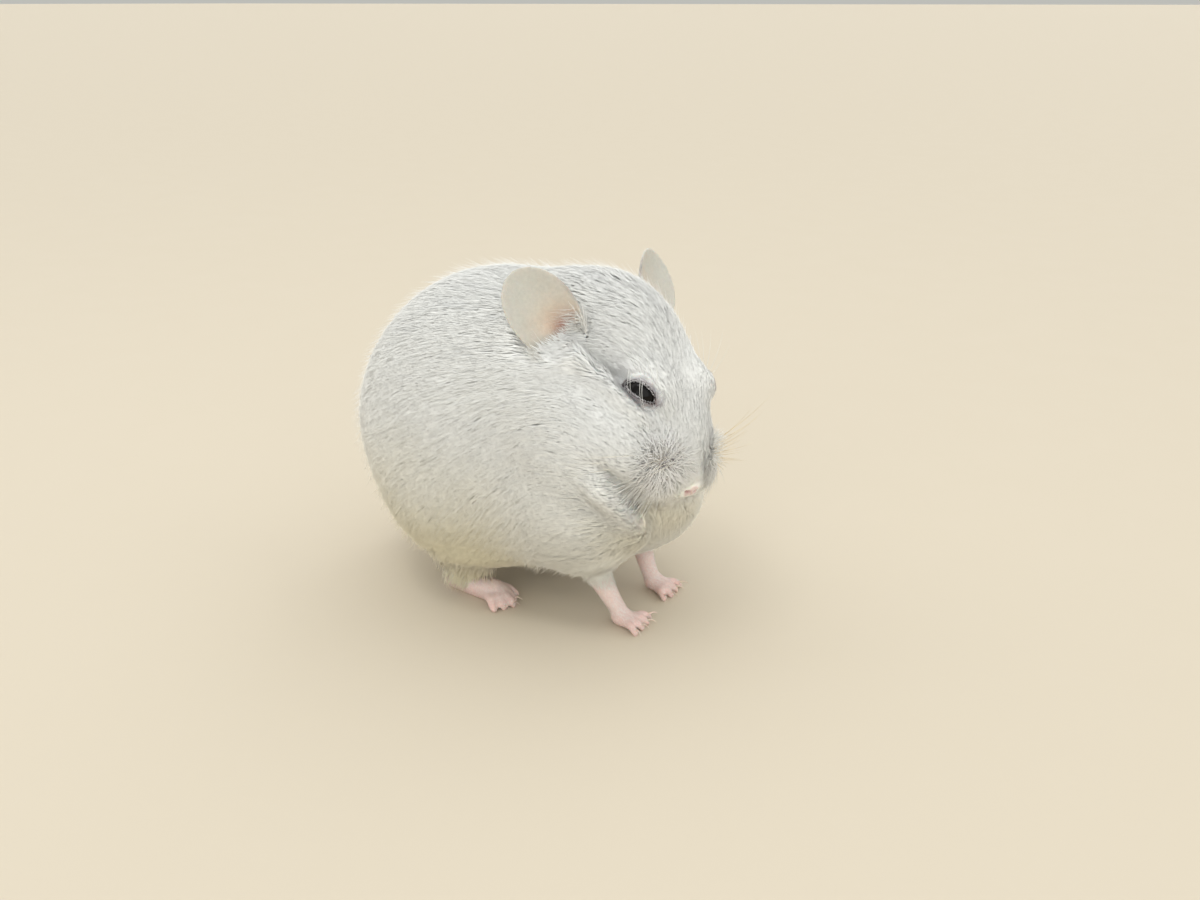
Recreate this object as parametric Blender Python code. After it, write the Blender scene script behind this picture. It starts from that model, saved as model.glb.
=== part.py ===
"""A young Syrian hamster sitting hunched, as a still, life-size model in named pieces.

The head, neck, trunk and upper legs are one smooth form: every mass of the body is a named
ellipsoid, the masses are blended into one skin, and thin cuts part it into pieces. The ears,
eyes, tail and paws are modelled on their own and trimmed where they meet the form.
Lengths are in millimetres until a mesh is made; +X is forward, +Y the animal's left, +Z up.
"""

import math
from collections import namedtuple

import bmesh
import bpy
import numpy as np
from mathutils import Euler, Matrix, Vector

MM = 0.001
GAP = 0.3  # the width of every cut between two pieces

# Driving dimensions.
BACK_HEIGHT = 61.0  # ground to the top of the hunched back, over the fur
HALF_WIDTH = 26.5  # middle plane to the flank
HEAD_CENTRE = (21.6, -0.4, 45.0)
HEAD_YAW = -24.0  # the face turns to the animal's right
HEAD_PITCH = 30.0  # and hangs down
HEAD_ROLL = -7.0
EYE_RADIUS = 3.1
EYE_PLACE = (10.2, 6.5, 5.2)  # in the head's frame, left side
EAR_LENGTH = 15.5
EAR_WIDTH = 13.0
EAR_THICKNESS = 0.9
FORM_TRIANGLES = 3500
VOXEL = 1.0

# Each mass: where its centre is, its three radii, its turn in degrees, and how widely it blends
# with the masses before it. A mass with a y is made on both sides when it says so.
Mass = namedtuple("Mass", "name frame centre radii turn blend both", defaults=((0, 0, 0), 7.0, False))

MASSES = [
    Mass("ribs", "body", (3, 0, 33), (25, 23, 25)),
    Mass("hunched_back", "body", (-4.5, 0, BACK_HEIGHT - 27), (26.5, HALF_WIDTH - 3, 27)),
    Mass("rump", "body", (-8.5, 0, 30.5), (23.5, HALF_WIDTH - 3.5, 22)),
    Mass("belly", "body", (-1, 0, 25), (24, HALF_WIDTH - 3.5, 18.5)),
    Mass("haunch", "body", (-5.5, 13.0, 21.5), (14.5, 11, 13.5), (0, 0, 0), 6.0, True),
    Mass("chest", "body", (17, 0, 24), (14, 15, 15), (0, 0, 0), 8.0),
    Mass("breast", "body", (22.5, 4, 19.5), (11.5, 9, 9.5), (0, 0, 0), 5.0),
    Mass("shoulder", "body", (18, 12, 24), (13, 9.5, 13.5), (0, 0, 0), 6.0, True),
    Mass("nape", "body", (11, 0, 43), (14, 15, 15.5), (0, 20, 0), 9.0),
    Mass("neck_roll", "body", (18.3, -12.2, 39.3), (17.5, 10.0, 10.0), (0, 18, -18), 7.0),
    Mass("cranium", "head", (-5, 0, 2), (14, 12.0, 12), (0, 0, 0), 8.0),
    Mass("bridge", "head", (9, 0, 1.0), (14, 8.2, 8.0), (0, 10, 0), 6.0),
    Mass("cheek", "head", (0.5, 8.0, -6), (12, 8.5, 9.8), (0, 0, 0), 4.0, True),
    Mass("muzzle", "head", (16.5, 0, -4.2), (8.2, 7.2, 6.2), (0, 12, 0), 4.0),
    Mass("whisker_pad", "head", (18.2, 4.8, -5.4), (5.8, 4.7, 4.8), (0, 0, 0), 2.0, True),
    Mass("jaw", "head", (12.5, 0, -11.0), (8.5, 7.0, 5.5), (0, 0, 0), 3.0),
    Mass("brow", "head", (7.0, 4.8, 6.0), (7.5, 4.0, 3.4), (0, 0, 0), 3.0, True),
    Mass("nose_tip", "head", (23.6, 0, -5.3), (1.7, 1.7, 1.5), (0, 0, 0), 1.5),
]

# The head grows softly out of the body, but turns against the right shoulder in a sharp fold.
HEAD_BLEND = 8.0
FOLD = {"top": (19, -15, 55), "bottom": (33, -14, 17), "blend": 0.8, "reach": 10.0}

COLOURS = {
    "fur": (0.86, 0.85, 0.81, 0.9),
    "skin": (0.80, 0.60, 0.55, 0.55),
    "ear": (0.78, 0.66, 0.58, 0.6),
    "nose": (0.78, 0.52, 0.50, 0.4),
    "eye": (0.012, 0.011, 0.012, 0.06),
}


# ---- frames and small helpers ------------------------------------------------------------


def frame_of(centre, yaw=0.0, pitch=0.0, roll=0.0):
    """A frame at a point, turned first in roll, then nose-down in pitch, then in yaw."""
    turn = (
        Matrix.Rotation(math.radians(yaw), 4, "Z")
        @ Matrix.Rotation(math.radians(pitch), 4, "Y")
        @ Matrix.Rotation(math.radians(roll), 4, "X")
    )
    return Matrix.Translation(Vector(centre)) @ turn


FRAMES = {
    "body": Matrix.Identity(4),
    "head": frame_of(HEAD_CENTRE, HEAD_YAW, HEAD_PITCH, HEAD_ROLL),
}


def mirrored(centre, side):
    """The same place on the animal's left (side 1) or right (side -1)."""
    return Vector((centre[0], centre[1] * side, centre[2]))


def turned(degrees):
    return Euler([math.radians(angle) for angle in degrees]).to_matrix().to_4x4()


def finish_of(name):
    """The plain material of one kind of surface, made once."""
    material = bpy.data.materials.get(name)
    if material is None:
        material = bpy.data.materials.new(name)
        material.use_nodes = True
        shader = material.node_tree.nodes["Principled BSDF"]
        red, green, blue, roughness = COLOURS[name]
        shader.inputs["Base Color"].default_value = (red, green, blue, 1)
        shader.inputs["Roughness"].default_value = roughness
        shader.inputs["Metallic"].default_value = 0.0
        material.diffuse_color = (red, green, blue, 1)
    return material


def add_object(name, mesh, finish=None):
    piece = bpy.data.objects.new(name, mesh)
    bpy.context.scene.collection.objects.link(piece)
    if finish:
        mesh.materials.clear()
        mesh.materials.append(finish_of(finish))
    return piece


def as_helper(piece):
    """A cutter or guide, which isn't part of the model."""
    piece.hide_render = True
    piece.display_type = "WIRE"
    return piece


def evaluated_mesh(piece, name):
    """A new mesh that holds the object's shape with its modifiers, and the object removed."""
    bpy.context.view_layer.update()
    graph = bpy.context.evaluated_depsgraph_get()
    mesh = bpy.data.meshes.new_from_object(piece.evaluated_get(graph))
    mesh.name = name
    bpy.data.objects.remove(piece)
    return mesh


def ellipsoids_mesh(name, shapes, subdivisions=3):
    """One mesh of ellipsoids, each given by its frame in millimetres and its radii."""
    building = bmesh.new()
    for frame, radii in shapes:
        size = Matrix.Diagonal((*radii, 1))
        scale = Matrix.Scale(MM, 4)
        bmesh.ops.create_icosphere(
            building, subdivisions=subdivisions, radius=1, matrix=scale @ frame @ size
        )
    mesh = bpy.data.meshes.new(name)
    building.to_mesh(mesh)
    building.free()
    return mesh


def remeshed(mesh, voxel, smoothing=0, triangles=None):
    """One closed skin round overlapping shapes, smoothed and cut down to a number of triangles."""
    piece = add_object("remeshing", mesh)
    remesh = piece.modifiers.new("one_skin", "REMESH")
    remesh.mode = "VOXEL"
    remesh.voxel_size = voxel * MM
    if smoothing:
        smooth = piece.modifiers.new("soften", "SMOOTH")
        smooth.factor = 0.5
        smooth.iterations = smoothing
    if triangles:
        skin = evaluated_mesh(piece, mesh.name)
        skin.calc_loop_triangles()
        share = triangles / len(skin.loop_triangles)
        piece = add_object("remeshing", skin)
        piece.modifiers.new("split", "TRIANGULATE")
        piece.modifiers.new("fewer", "DECIMATE").ratio = min(1.0, share)
    return evaluated_mesh(piece, mesh.name)


# ---- the smooth form ---------------------------------------------------------------------


def placed_masses():
    """(group, frame in body space, radii, blend) of every mass, both sides included."""
    placed = []
    for mass in MASSES:
        for side in (-1, 1) if mass.both else (1,):
            turn = (mass.turn[0] * side, mass.turn[1], mass.turn[2] * side)
            where = Matrix.Translation(mirrored(mass.centre, side)) @ turned(turn)
            placed.append((mass.frame, FRAMES[mass.frame] @ where, mass.radii, mass.blend))
    return placed


def blended(first, second, blend):
    """The nearer of two distances, rounded over where they are within a blend of each other."""
    overlap = np.maximum(blend - np.abs(first - second), 0) / blend
    return np.minimum(first, second) - overlap**2 * blend / 4


def foldedness(points):
    """1 along the fold between the head and the right shoulder, falling to 0 away from it."""
    top, bottom = np.array(FOLD["top"]), np.array(FOLD["bottom"])
    along = bottom - top
    share = np.clip((points - top) @ along / (along @ along), 0, 1)
    away = np.linalg.norm(points - top - share[:, None] * along, axis=1)
    return np.exp(-((away / FOLD["reach"]) ** 4))


def distance_to_form(points, masses):
    """Roughly how far each point is outside the blended masses, in millimetres."""
    totals = {}
    for group, frame, radii, blend in masses:
        inverse = np.array(frame.inverted())
        local = points @ inverse[:3, :3].T + inverse[:3, 3]
        reach = np.linalg.norm(local / radii, axis=1)
        slope = np.linalg.norm(local / np.square(radii), axis=1) + 1e-9
        distance = reach * (reach - 1) / slope
        before = totals.get(group)
        totals[group] = distance if before is None else blended(before, distance, blend)
    fold = foldedness(points)
    blend = HEAD_BLEND + (FOLD["blend"] - HEAD_BLEND) * fold
    return blended(totals["body"], totals["head"], blend)


def settled(points, masses, offset=0.0, steps=8, probe=0.05):
    """The points moved onto the form, or onto the surface at an offset from it."""
    for _ in range(steps):
        value = distance_to_form(points, masses) - offset
        slope = np.empty_like(points)
        for axis in range(3):
            nudge = np.zeros(3)
            nudge[axis] = probe
            ahead = distance_to_form(points + nudge, masses)
            behind = distance_to_form(points - nudge, masses)
            slope[:, axis] = (ahead - behind) / (2 * probe)
        length = np.maximum((slope**2).sum(axis=1), 0.05)
        points = points - slope * np.clip(value / length, -2, 2)[:, None]
    return points


def settle_mesh(mesh, masses, offset=0.0):
    points = np.empty(len(mesh.vertices) * 3)
    mesh.vertices.foreach_get("co", points)
    points = settled(points.reshape(-1, 3) / MM, masses, offset)
    mesh.vertices.foreach_set("co", (points * MM).ravel())
    mesh.update()


def make_form():
    """The skin of all the masses, and the same skin one gap larger, which trims what meets it."""
    masses = placed_masses()
    rough = ellipsoids_mesh("form", [(frame, radii) for _, frame, radii, _ in masses])
    fine = remeshed(rough, VOXEL)
    settle_mesh(fine, masses)
    form = add_object("form_source", fine)
    share = FORM_TRIANGLES / (2 * len(fine.polygons))
    form.modifiers.new("split", "TRIANGULATE")
    form.modifiers.new("fewer", "DECIMATE").ratio = share
    mesh = evaluated_mesh(form, "form")
    grown = mesh.copy()
    grown.name = "form_grown"
    settle_mesh(grown, masses, GAP + 0.1)
    return mesh, grown


# ---- cutters -----------------------------------------------------------------------------


def box_cutter(name, frame, low, high):
    """A box from its lowest to its highest corner in a frame, in millimetres."""
    building = bmesh.new()
    centre = [(a + b) / 2 for a, b in zip(low, high)]
    size = [b - a for a, b in zip(low, high)]
    place = Matrix.Scale(MM, 4) @ frame @ Matrix.Translation(centre)
    bmesh.ops.create_cube(building, size=1, matrix=place @ Matrix.Diagonal((*size, 1)))
    mesh = bpy.data.meshes.new(name)
    building.to_mesh(mesh)
    building.free()
    return as_helper(add_object(name, mesh))


def oval_cutter(name, centre, radii, tilt, inner, outer, side, sides=22):
    """An oval bar across the body, from inner to outer on one side, with its oval in the XZ plane."""
    building = bmesh.new()
    middle = Vector((centre[0], side * (inner + outer) / 2, centre[1]))
    place = (
        Matrix.Scale(MM, 4)
        @ Matrix.Translation(middle)
        @ Matrix.Rotation(math.radians(tilt), 4, "Y")
        @ Matrix.Rotation(math.radians(90), 4, "X")
        @ Matrix.Diagonal((radii[0], radii[1], outer - inner, 1))
    )
    bmesh.ops.create_cone(
        building, cap_ends=True, segments=sides, radius1=1, radius2=1, depth=1, matrix=place
    )
    mesh = bpy.data.meshes.new(name)
    building.to_mesh(mesh)
    building.free()
    return as_helper(add_object(name, mesh))


def ball_mesh(name, frame, radius, segments, rings):
    building = bmesh.new()
    bmesh.ops.create_uvsphere(
        building,
        u_segments=segments,
        v_segments=rings,
        radius=radius,
        matrix=Matrix.Scale(MM, 4) @ frame,
    )
    mesh = bpy.data.meshes.new(name)
    building.to_mesh(mesh)
    building.free()
    return mesh


def oval_ball(name, frame, centre, radii, grow=0.0):
    """An egg-shaped cutter in a frame."""
    size = Matrix.Diagonal((*[radius + grow for radius in radii], 1))
    return as_helper(
        add_object(name, ball_mesh(name, frame @ Matrix.Translation(centre) @ size, 1.0, 10, 6))
    )


def keep_inside(piece, cutter):
    """The piece keeps only what lies in the cutter."""
    cut = piece.modifiers.new("within_" + cutter.name, "BOOLEAN")
    cut.operation = "INTERSECT"
    cut.solver = "EXACT"
    cut.object = cutter


def cut_away(piece, *cutters):
    for cutter in cutters:
        cut = piece.modifiers.new("less_" + cutter.name, "BOOLEAN")
        cut.operation = "DIFFERENCE"
        cut.solver = "EXACT"
        cut.object = cutter


# ---- the pieces of the form --------------------------------------------------------------

FAR = 90.0  # past the body in any direction
HEAD_BLOCK = {"low": (-10.5, -FAR, -13.5), "high": (FAR, FAR, FAR)}
NECK_FRAME = frame_of((12.0, 0.0, 40.0), -14.0, 26.0)
NECK_BLOCK = {"low": (-5.0, -FAR, -12.0), "high": (FAR, FAR, FAR)}
NOSE_PAD = {"centre": (24.6, 0.0, -5.3), "radii": (2.2, 1.8, 1.6)}
HAUNCH = {"centre": (-13.0, 17.0), "radii": (17.5, 16.0), "tilt": 0.0, "inner": 13.5, "outer": 45.0}
FORELEG = {"centre": (18.5, 19.0), "radii": (11.5, 13.0), "tilt": 12.0, "inner": 4.5, "outer": 45.0}


def grown_block(block, by):
    return (
        tuple(low - by for low in block["low"]),
        tuple(high + by for high in block["high"]),
    )


def grown_oval(oval, by):
    return {
        "centre": oval["centre"],
        "radii": tuple(radius + by for radius in oval["radii"]),
        "tilt": oval["tilt"],
        "inner": oval["inner"] - by,
        "outer": oval["outer"] + by,
    }


def make_form_pieces(form, ground, eye_sockets):
    """Head, nose, neck, trunk and the four upper legs, parted by cuts one gap wide."""
    head = FRAMES["head"]
    head_block = box_cutter("head_block", head, HEAD_BLOCK["low"], HEAD_BLOCK["high"])
    head_grown = box_cutter("head_block_grown", head, *grown_block(HEAD_BLOCK, GAP))
    neck_block = box_cutter("neck_block", NECK_FRAME, NECK_BLOCK["low"], NECK_BLOCK["high"])
    neck_grown = box_cutter("neck_block_grown", NECK_FRAME, *grown_block(NECK_BLOCK, GAP))
    nose_pad = oval_ball("nose_pad", head, NOSE_PAD["centre"], NOSE_PAD["radii"])
    nose_grown = oval_ball("nose_pad_grown", head, NOSE_PAD["centre"], NOSE_PAD["radii"], GAP)

    def piece_of_form(name, finish="fur"):
        return add_object(name, form.copy(), finish)

    nose = piece_of_form("nose", "nose")
    keep_inside(nose, nose_pad)

    skull = piece_of_form("head")
    keep_inside(skull, head_block)
    cut_away(skull, nose_grown, *eye_sockets)

    neck = piece_of_form("neck")
    keep_inside(neck, neck_block)
    cut_away(neck, head_grown)

    trunk = piece_of_form("trunk")
    cut_away(trunk, head_grown, neck_grown)

    for side, word in ((-1, "right"), (1, "left")):
        for name, oval in (("hindleg", HAUNCH), ("foreleg", FORELEG)):
            cutter = oval_cutter(f"{name}_{word}_bar", side=side, **oval)
            grown = oval_cutter(f"{name}_{word}_bar_grown", side=side, **grown_oval(oval, GAP))
            leg = piece_of_form(f"{name}_{word}")
            keep_inside(leg, cutter)
            cut_away(leg, head_grown, neck_grown, ground)
            cut_away(trunk, grown)
    cut_away(trunk, ground)
    return trunk


# ---- eyes --------------------------------------------------------------------------------


def make_eyes():
    """Two eyeballs, and the two sockets one gap larger that the head is cut with."""
    sockets = []
    for side, word in ((-1, "right"), (1, "left")):
        place = FRAMES["head"] @ Matrix.Translation(mirrored(EYE_PLACE, side))
        place = place @ Matrix.Rotation(math.radians(-90 * side), 4, "X")
        eye = add_object(f"eye_{word}", ball_mesh(f"eye_{word}", place, EYE_RADIUS, 14, 9), "eye")
        eye.data.shade_smooth()
        socket = ball_mesh(f"socket_{word}", place, EYE_RADIUS + GAP + 0.05, 14, 9)
        sockets.append(as_helper(add_object(f"socket_{word}", socket)))
    return sockets


# ---- ears --------------------------------------------------------------------------------

EAR = {
    "base": {"left": (-7.8, 10.6, 5.4), "right": (-2.6, -14.6, 5.4)},  # in the head's frame
    "tip_direction": {"left": (-0.77, 0.52, 0.32), "right": (-0.91, -0.42, 0.38)},
    "facing": {"left": (0.62, 0.20, 0.76), "right": (0.72, -0.50, 0.50)},
    "rings": 4,
    "spokes": 20,
    "cup": 2.6,  # how deep the ear is hollowed
    "root_width": 0.6,  # share of the full width at the root
    "buried": 2.5,
}


def ear_outline(angle):
    """A point on the ear's rim, across and along, in millimetres. The root is at the bottom."""
    along = (1 + math.sin(angle)) / 2
    widening = EAR["root_width"] + (1 - EAR["root_width"]) * math.sin(along * math.pi / 2) ** 0.8
    across = math.cos(angle) * EAR_WIDTH / 2 * widening
    return across, along * (EAR_LENGTH + EAR["buried"]) - EAR["buried"]


def ear_mesh(name, frame, side):
    """A cupped leaf with a front and a back skin joined round the rim."""
    rings, spokes = EAR["rings"], EAR["spokes"]
    middle = (0.0, EAR_LENGTH * 0.48)
    building = bmesh.new()
    skins = []
    for half in (1, -1):
        rows = []
        for ring in range(rings + 1):
            share = ring / rings
            row = []
            for spoke in range(spokes if ring else 1):
                across, along = ear_outline(2 * math.pi * spoke / spokes)
                across = middle[0] + (across - middle[0]) * share
                along = middle[1] + (along - middle[1]) * share
                hollow = EAR["cup"] * (1 - (across / (EAR_WIDTH / 2)) ** 2)
                curl = 0.05 * (along - middle[1]) ** 2 / 4
                thickness = EAR_THICKNESS / 2 * (1 - 0.35 * share**4)
                depth = -hollow + curl + half * thickness
                point = Vector((across * side, along, depth))
                row.append(building.verts.new(frame @ point * MM))
            rows.append(row)
        skins.append(rows)
    for half, rows in zip((1, -1), skins):
        for spoke in range(spokes):
            after = (spoke + 1) % spokes
            corners = [rows[0][0], rows[1][spoke], rows[1][after]]
            building.faces.new(corners)
            for ring in range(1, rings):
                inner, outer = rows[ring], rows[ring + 1]
                building.faces.new([inner[spoke], outer[spoke], outer[after], inner[after]])
    for spoke in range(spokes):
        after = (spoke + 1) % spokes
        front, back = skins[0][rings], skins[1][rings]
        building.faces.new([front[spoke], back[spoke], back[after], front[after]])
    bmesh.ops.recalc_face_normals(building, faces=building.faces)
    mesh = bpy.data.meshes.new(name)
    building.to_mesh(mesh)
    building.free()
    return mesh


def make_ears(grown):
    for side, word in ((-1, "right"), (1, "left")):
        along = Vector(EAR["tip_direction"][word]).normalized()
        facing = Vector(EAR["facing"][word])
        facing = (facing - facing.dot(along) * along).normalized()
        across = along.cross(facing)
        turn = Matrix((across, along, facing)).transposed().to_4x4()
        base = Matrix.Translation(EAR["base"][word])
        frame = FRAMES["head"] @ base @ turn
        ear = add_object(f"ear_{word}", ear_mesh(f"ear_{word}", frame, side), "ear")
        ear.data.shade_smooth()
        cut_away(ear, grown)


# ---- paws and tail -----------------------------------------------------------------------


def capsule_shapes(start, end, radius_start, radius_end, step=0.5):
    """Overlapping balls from one point to another, as (frame, radii)."""
    start, end = Vector(start), Vector(end)
    count = max(2, math.ceil((end - start).length / (step * min(radius_start, radius_end))))
    shapes = []
    for index in range(count + 1):
        share = index / count
        radius = radius_start + (radius_end - radius_start) * share
        shapes.append((Matrix.Translation(start.lerp(end, share)), (radius,) * 3))
    return shapes


FOREPAW = {
    "elbow": {"left": (18.5, 8.5, 15.0), "right": (19.0, -12.5, 15.0)},
    "wrist": {"left": (24.6, 4.6, 3.5), "right": (25.2, -10.6, 3.5)},
    "palm": {"left": (26.2, 4.6, 1.3), "right": (26.8, -10.6, 1.3)},
    "arm_radii": (2.7, 1.55),
    "palm_radii": (2.6, 2.1, 1.5),
    "toe_length": 3.2,
    "toe_radius": 0.7,
    "toe_angles": (-34, -11, 11, 34),
    "claw_length": 1.2,
}

HINDPAW = {
    "knee": (-2.0, 12.5, 12.0),
    "heel": (-9.0, 12.5, 1.9),
    "ball": (1.0, 13.8, 1.7),
    "shank_radii": (4.0, 2.3),
    "sole_radii": (2.2, 2.4),
    "toe_length": 4.0,
    "toe_radius": 0.85,
    "toe_angles": (-30, -14, 0, 14, 32),
    "heading": 7.0,
    "claw_length": 1.3,
}


def toe_shapes(root, heading, length, radius, claw):
    """One toe: it arches forward from the ball of the foot, and its claw points down."""
    ahead = Vector((math.cos(heading), math.sin(heading), 0))
    knuckle = root + ahead * length * 0.5 + Vector((0, 0, radius * 0.55))
    tip = root + ahead * length
    tip.z = radius * 0.6
    point = tip + ahead * claw
    point.z = 0.5
    shapes = capsule_shapes(root, knuckle, radius, radius)
    shapes += capsule_shapes(knuckle, tip, radius, radius * 0.9)
    shapes += capsule_shapes(tip, point, radius * 0.6, 0.3)
    return shapes


def make_forepaw(word, side, ground, foreleg_grown, triangles=360):
    spec = FOREPAW
    elbow, wrist, palm = (Vector(spec[part][word]) for part in ("elbow", "wrist", "palm"))
    shapes = capsule_shapes(elbow, wrist, *spec["arm_radii"])
    shapes += capsule_shapes(wrist, palm, spec["arm_radii"][1], 1.5)
    shapes.append((Matrix.Translation(palm), spec["palm_radii"]))
    for degrees in spec["toe_angles"]:
        heading = math.radians(degrees - 6 * side)
        spread = Vector((1.2, 1.7 * math.sin(heading) / math.sin(math.radians(34)), -0.3))
        shapes += toe_shapes(
            palm + spread, heading, spec["toe_length"], spec["toe_radius"], spec["claw_length"]
        )
    mesh = remeshed(ellipsoids_mesh("forepaw", shapes, 2), 0.3, 2, triangles)
    paw = add_object(f"forepaw_{word}", mesh, "skin")
    paw.data.shade_smooth()
    cut_away(paw, foreleg_grown, ground)


def make_hindpaw(word, side, ground, grown, triangles=360):
    spec = HINDPAW
    knee, heel, ball = (mirrored(spec[part], side) for part in ("knee", "heel", "ball"))
    shapes = capsule_shapes(knee, heel, *spec["shank_radii"])
    shapes += capsule_shapes(heel, ball, *spec["sole_radii"])
    for index, degrees in enumerate(spec["toe_angles"]):
        heading = math.radians(degrees + spec["heading"] * side)
        outer = abs(index - 2) / 2
        root = ball + Vector((0.8 - 1.1 * outer, 2.3 * math.sin(heading) / 0.6, -0.2))
        length = spec["toe_length"] * (1 - 0.18 * outer)
        shapes += toe_shapes(root, heading, length, spec["toe_radius"], spec["claw_length"])
    mesh = remeshed(ellipsoids_mesh("hindpaw", shapes, 2), 0.3, 2, triangles)
    paw = add_object(f"hindpaw_{word}", mesh, "skin")
    paw.data.shade_smooth()
    cut_away(paw, grown, ground)


TAIL = {"root": (-24.0, 0.0, 12.5), "tip": (-33.0, 0.6, 6.0), "radii": (2.4, 1.1)}


def make_tail(grown, triangles=120):
    shapes = capsule_shapes(TAIL["root"], TAIL["tip"], *TAIL["radii"])
    mesh = remeshed(ellipsoids_mesh("tail", shapes, 2), 0.4, 2, triangles)
    tail = add_object("tail", mesh, "skin")
    tail.data.shade_smooth()
    cut_away(tail, grown)


# ---- putting it together -----------------------------------------------------------------


def stand_on_origin():
    """Everything hangs from one empty, which puts the middle of the model's base at the origin."""
    bpy.context.view_layer.update()
    graph = bpy.context.evaluated_depsgraph_get()
    nodes = [o for o in bpy.context.scene.objects if not o.hide_render]
    corners = [
        Vector(corner) for o in nodes for corner in o.evaluated_get(graph).bound_box
    ]
    low = Vector(min(corner[axis] for corner in corners) for axis in range(3))
    high = Vector(max(corner[axis] for corner in corners) for axis in range(3))
    hamster = bpy.data.objects.new("hamster", None)
    bpy.context.scene.collection.objects.link(hamster)
    for piece in list(bpy.context.scene.objects):
        if piece is not hamster:
            piece.parent = hamster
    hamster.location = (-(low.x + high.x) / 2, -(low.y + high.y) / 2, -low.z)


def main():
    for leftover in list(bpy.data.objects):
        bpy.data.objects.remove(leftover)
    form, grown_form = make_form()
    grown = as_helper(add_object("form_grown", grown_form))
    ground = box_cutter("ground", FRAMES["body"], (-FAR, -FAR, -FAR), (FAR, FAR, 0))
    sockets = make_eyes()
    make_form_pieces(form, ground, sockets)
    make_ears(grown)
    make_tail(grown)
    for side, word in ((-1, "right"), (1, "left")):
        make_forepaw(word, side, ground, grown)
        make_hindpaw(word, side, ground, grown)
    stand_on_origin()


main()
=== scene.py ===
import time
from itertools import product
from math import cos, pi, radians, sin, sqrt

import bmesh
import bpy
import numpy as np
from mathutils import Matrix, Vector
from mathutils.bvhtree import BVHTree


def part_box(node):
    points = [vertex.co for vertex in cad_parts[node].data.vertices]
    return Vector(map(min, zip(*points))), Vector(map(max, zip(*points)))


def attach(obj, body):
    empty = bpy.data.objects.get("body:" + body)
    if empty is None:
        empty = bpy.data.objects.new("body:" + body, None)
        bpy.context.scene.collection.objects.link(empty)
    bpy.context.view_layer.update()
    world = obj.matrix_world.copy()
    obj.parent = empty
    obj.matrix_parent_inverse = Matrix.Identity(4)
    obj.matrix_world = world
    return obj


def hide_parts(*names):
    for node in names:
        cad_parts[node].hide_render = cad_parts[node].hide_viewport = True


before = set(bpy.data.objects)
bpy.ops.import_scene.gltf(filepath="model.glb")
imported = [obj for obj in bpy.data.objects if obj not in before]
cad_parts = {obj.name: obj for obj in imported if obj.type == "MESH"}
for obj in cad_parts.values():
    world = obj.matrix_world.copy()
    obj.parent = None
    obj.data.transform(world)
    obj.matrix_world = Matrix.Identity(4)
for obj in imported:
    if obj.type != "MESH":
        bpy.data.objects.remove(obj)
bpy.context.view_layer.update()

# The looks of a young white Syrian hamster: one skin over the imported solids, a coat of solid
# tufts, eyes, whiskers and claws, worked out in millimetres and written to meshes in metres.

mm = 0.001
rng = np.random.default_rng(41)
startTime = time.time()
sides = ((1, "left"), (-1, "right"))
paws = ("forepaw_left", "forepaw_right", "hindpaw_left", "hindpaw_right")
flesh = (
    "head", "neck", "trunk", "nose", "foreleg_left", "foreleg_right",
    "hindleg_left", "hindleg_right", *paws, "tail",
)


def say(text):
    print(f"hamster: {text} ({time.time() - startTime:.0f} s)", flush=True)


# small helpers for arrays of points

def unit(vectors):
    return vectors / np.maximum(np.linalg.norm(vectors, axis=-1, keepdims=True), 1e-9)


def ramp(values, low, high):
    share = np.clip((values - low) / (high - low), 0, 1)
    return share * share * (3 - 2 * share)


def mix(first, second, share):
    return first + (second - first) * share


def blended(first, second, share):
    # mix for colours or directions, with a share for each point
    return mix(first, second, share[:, None])


def bell(*offsets):
    # 1 in the middle, fading with offsets given in widths
    return np.exp(-sum(offset**2 for offset in offsets))


def dot(first, second):
    return np.sum(first * second, axis=1)


def most(*shares):
    return np.maximum.reduce(shares)


def apart(points, place):
    return np.linalg.norm(points - np.asarray(place), axis=1)


def edgesOf(corners):
    return corners[:, 1] - corners[:, 0], corners[:, 2] - corners[:, 0]


def weighed(shares, corners):
    # the place in each triangle at these shares of its corners
    return np.einsum("ij,ijk->ik", shares, corners)


def patchy(points, size, seed):
    # smooth noise from -1 to 1 with patches of about the given size
    cells = points / size
    low = np.floor(cells).astype(np.int64)
    part = cells - low
    part = part * part * (3 - 2 * part)
    total = np.zeros(len(points))
    for corner in product((0, 1), repeat=3):
        key = (low + corner) @ np.array((73856093, 19349663, 83492791)) + seed * 6271
        key = ((key ^ (key >> 13)) * 1274126177) & 0x7FFFFFFF
        value = ((key ^ (key >> 15)) & 0xFFFF) / 65535
        total += value * np.prod(np.where(corner, part, 1 - part), axis=1)
    return 2 * total - 1


def paint(*screen):
    # a colour as it looks on a screen, as the light it gives back
    shown = np.array(screen) / 255
    return np.where(shown <= 0.04045, shown / 12.92, ((shown + 0.055) / 1.055) ** 2.4)


# meshes to and from arrays

def fetched(items, word, width, kind=float):
    values = np.empty(len(items) * width, kind)
    items.foreach_get(word, values)
    return values.reshape(-1, width)


def meshArrays(mesh):
    mesh.calc_loop_triangles()
    return fetched(mesh.vertices, "co", 3), fetched(mesh.loop_triangles, "vertices", 3, np.int32)


def spent(mesh):
    # the arrays of a mesh that is not needed itself
    arrays = meshArrays(mesh)
    bpy.data.meshes.remove(mesh)
    return arrays


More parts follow.
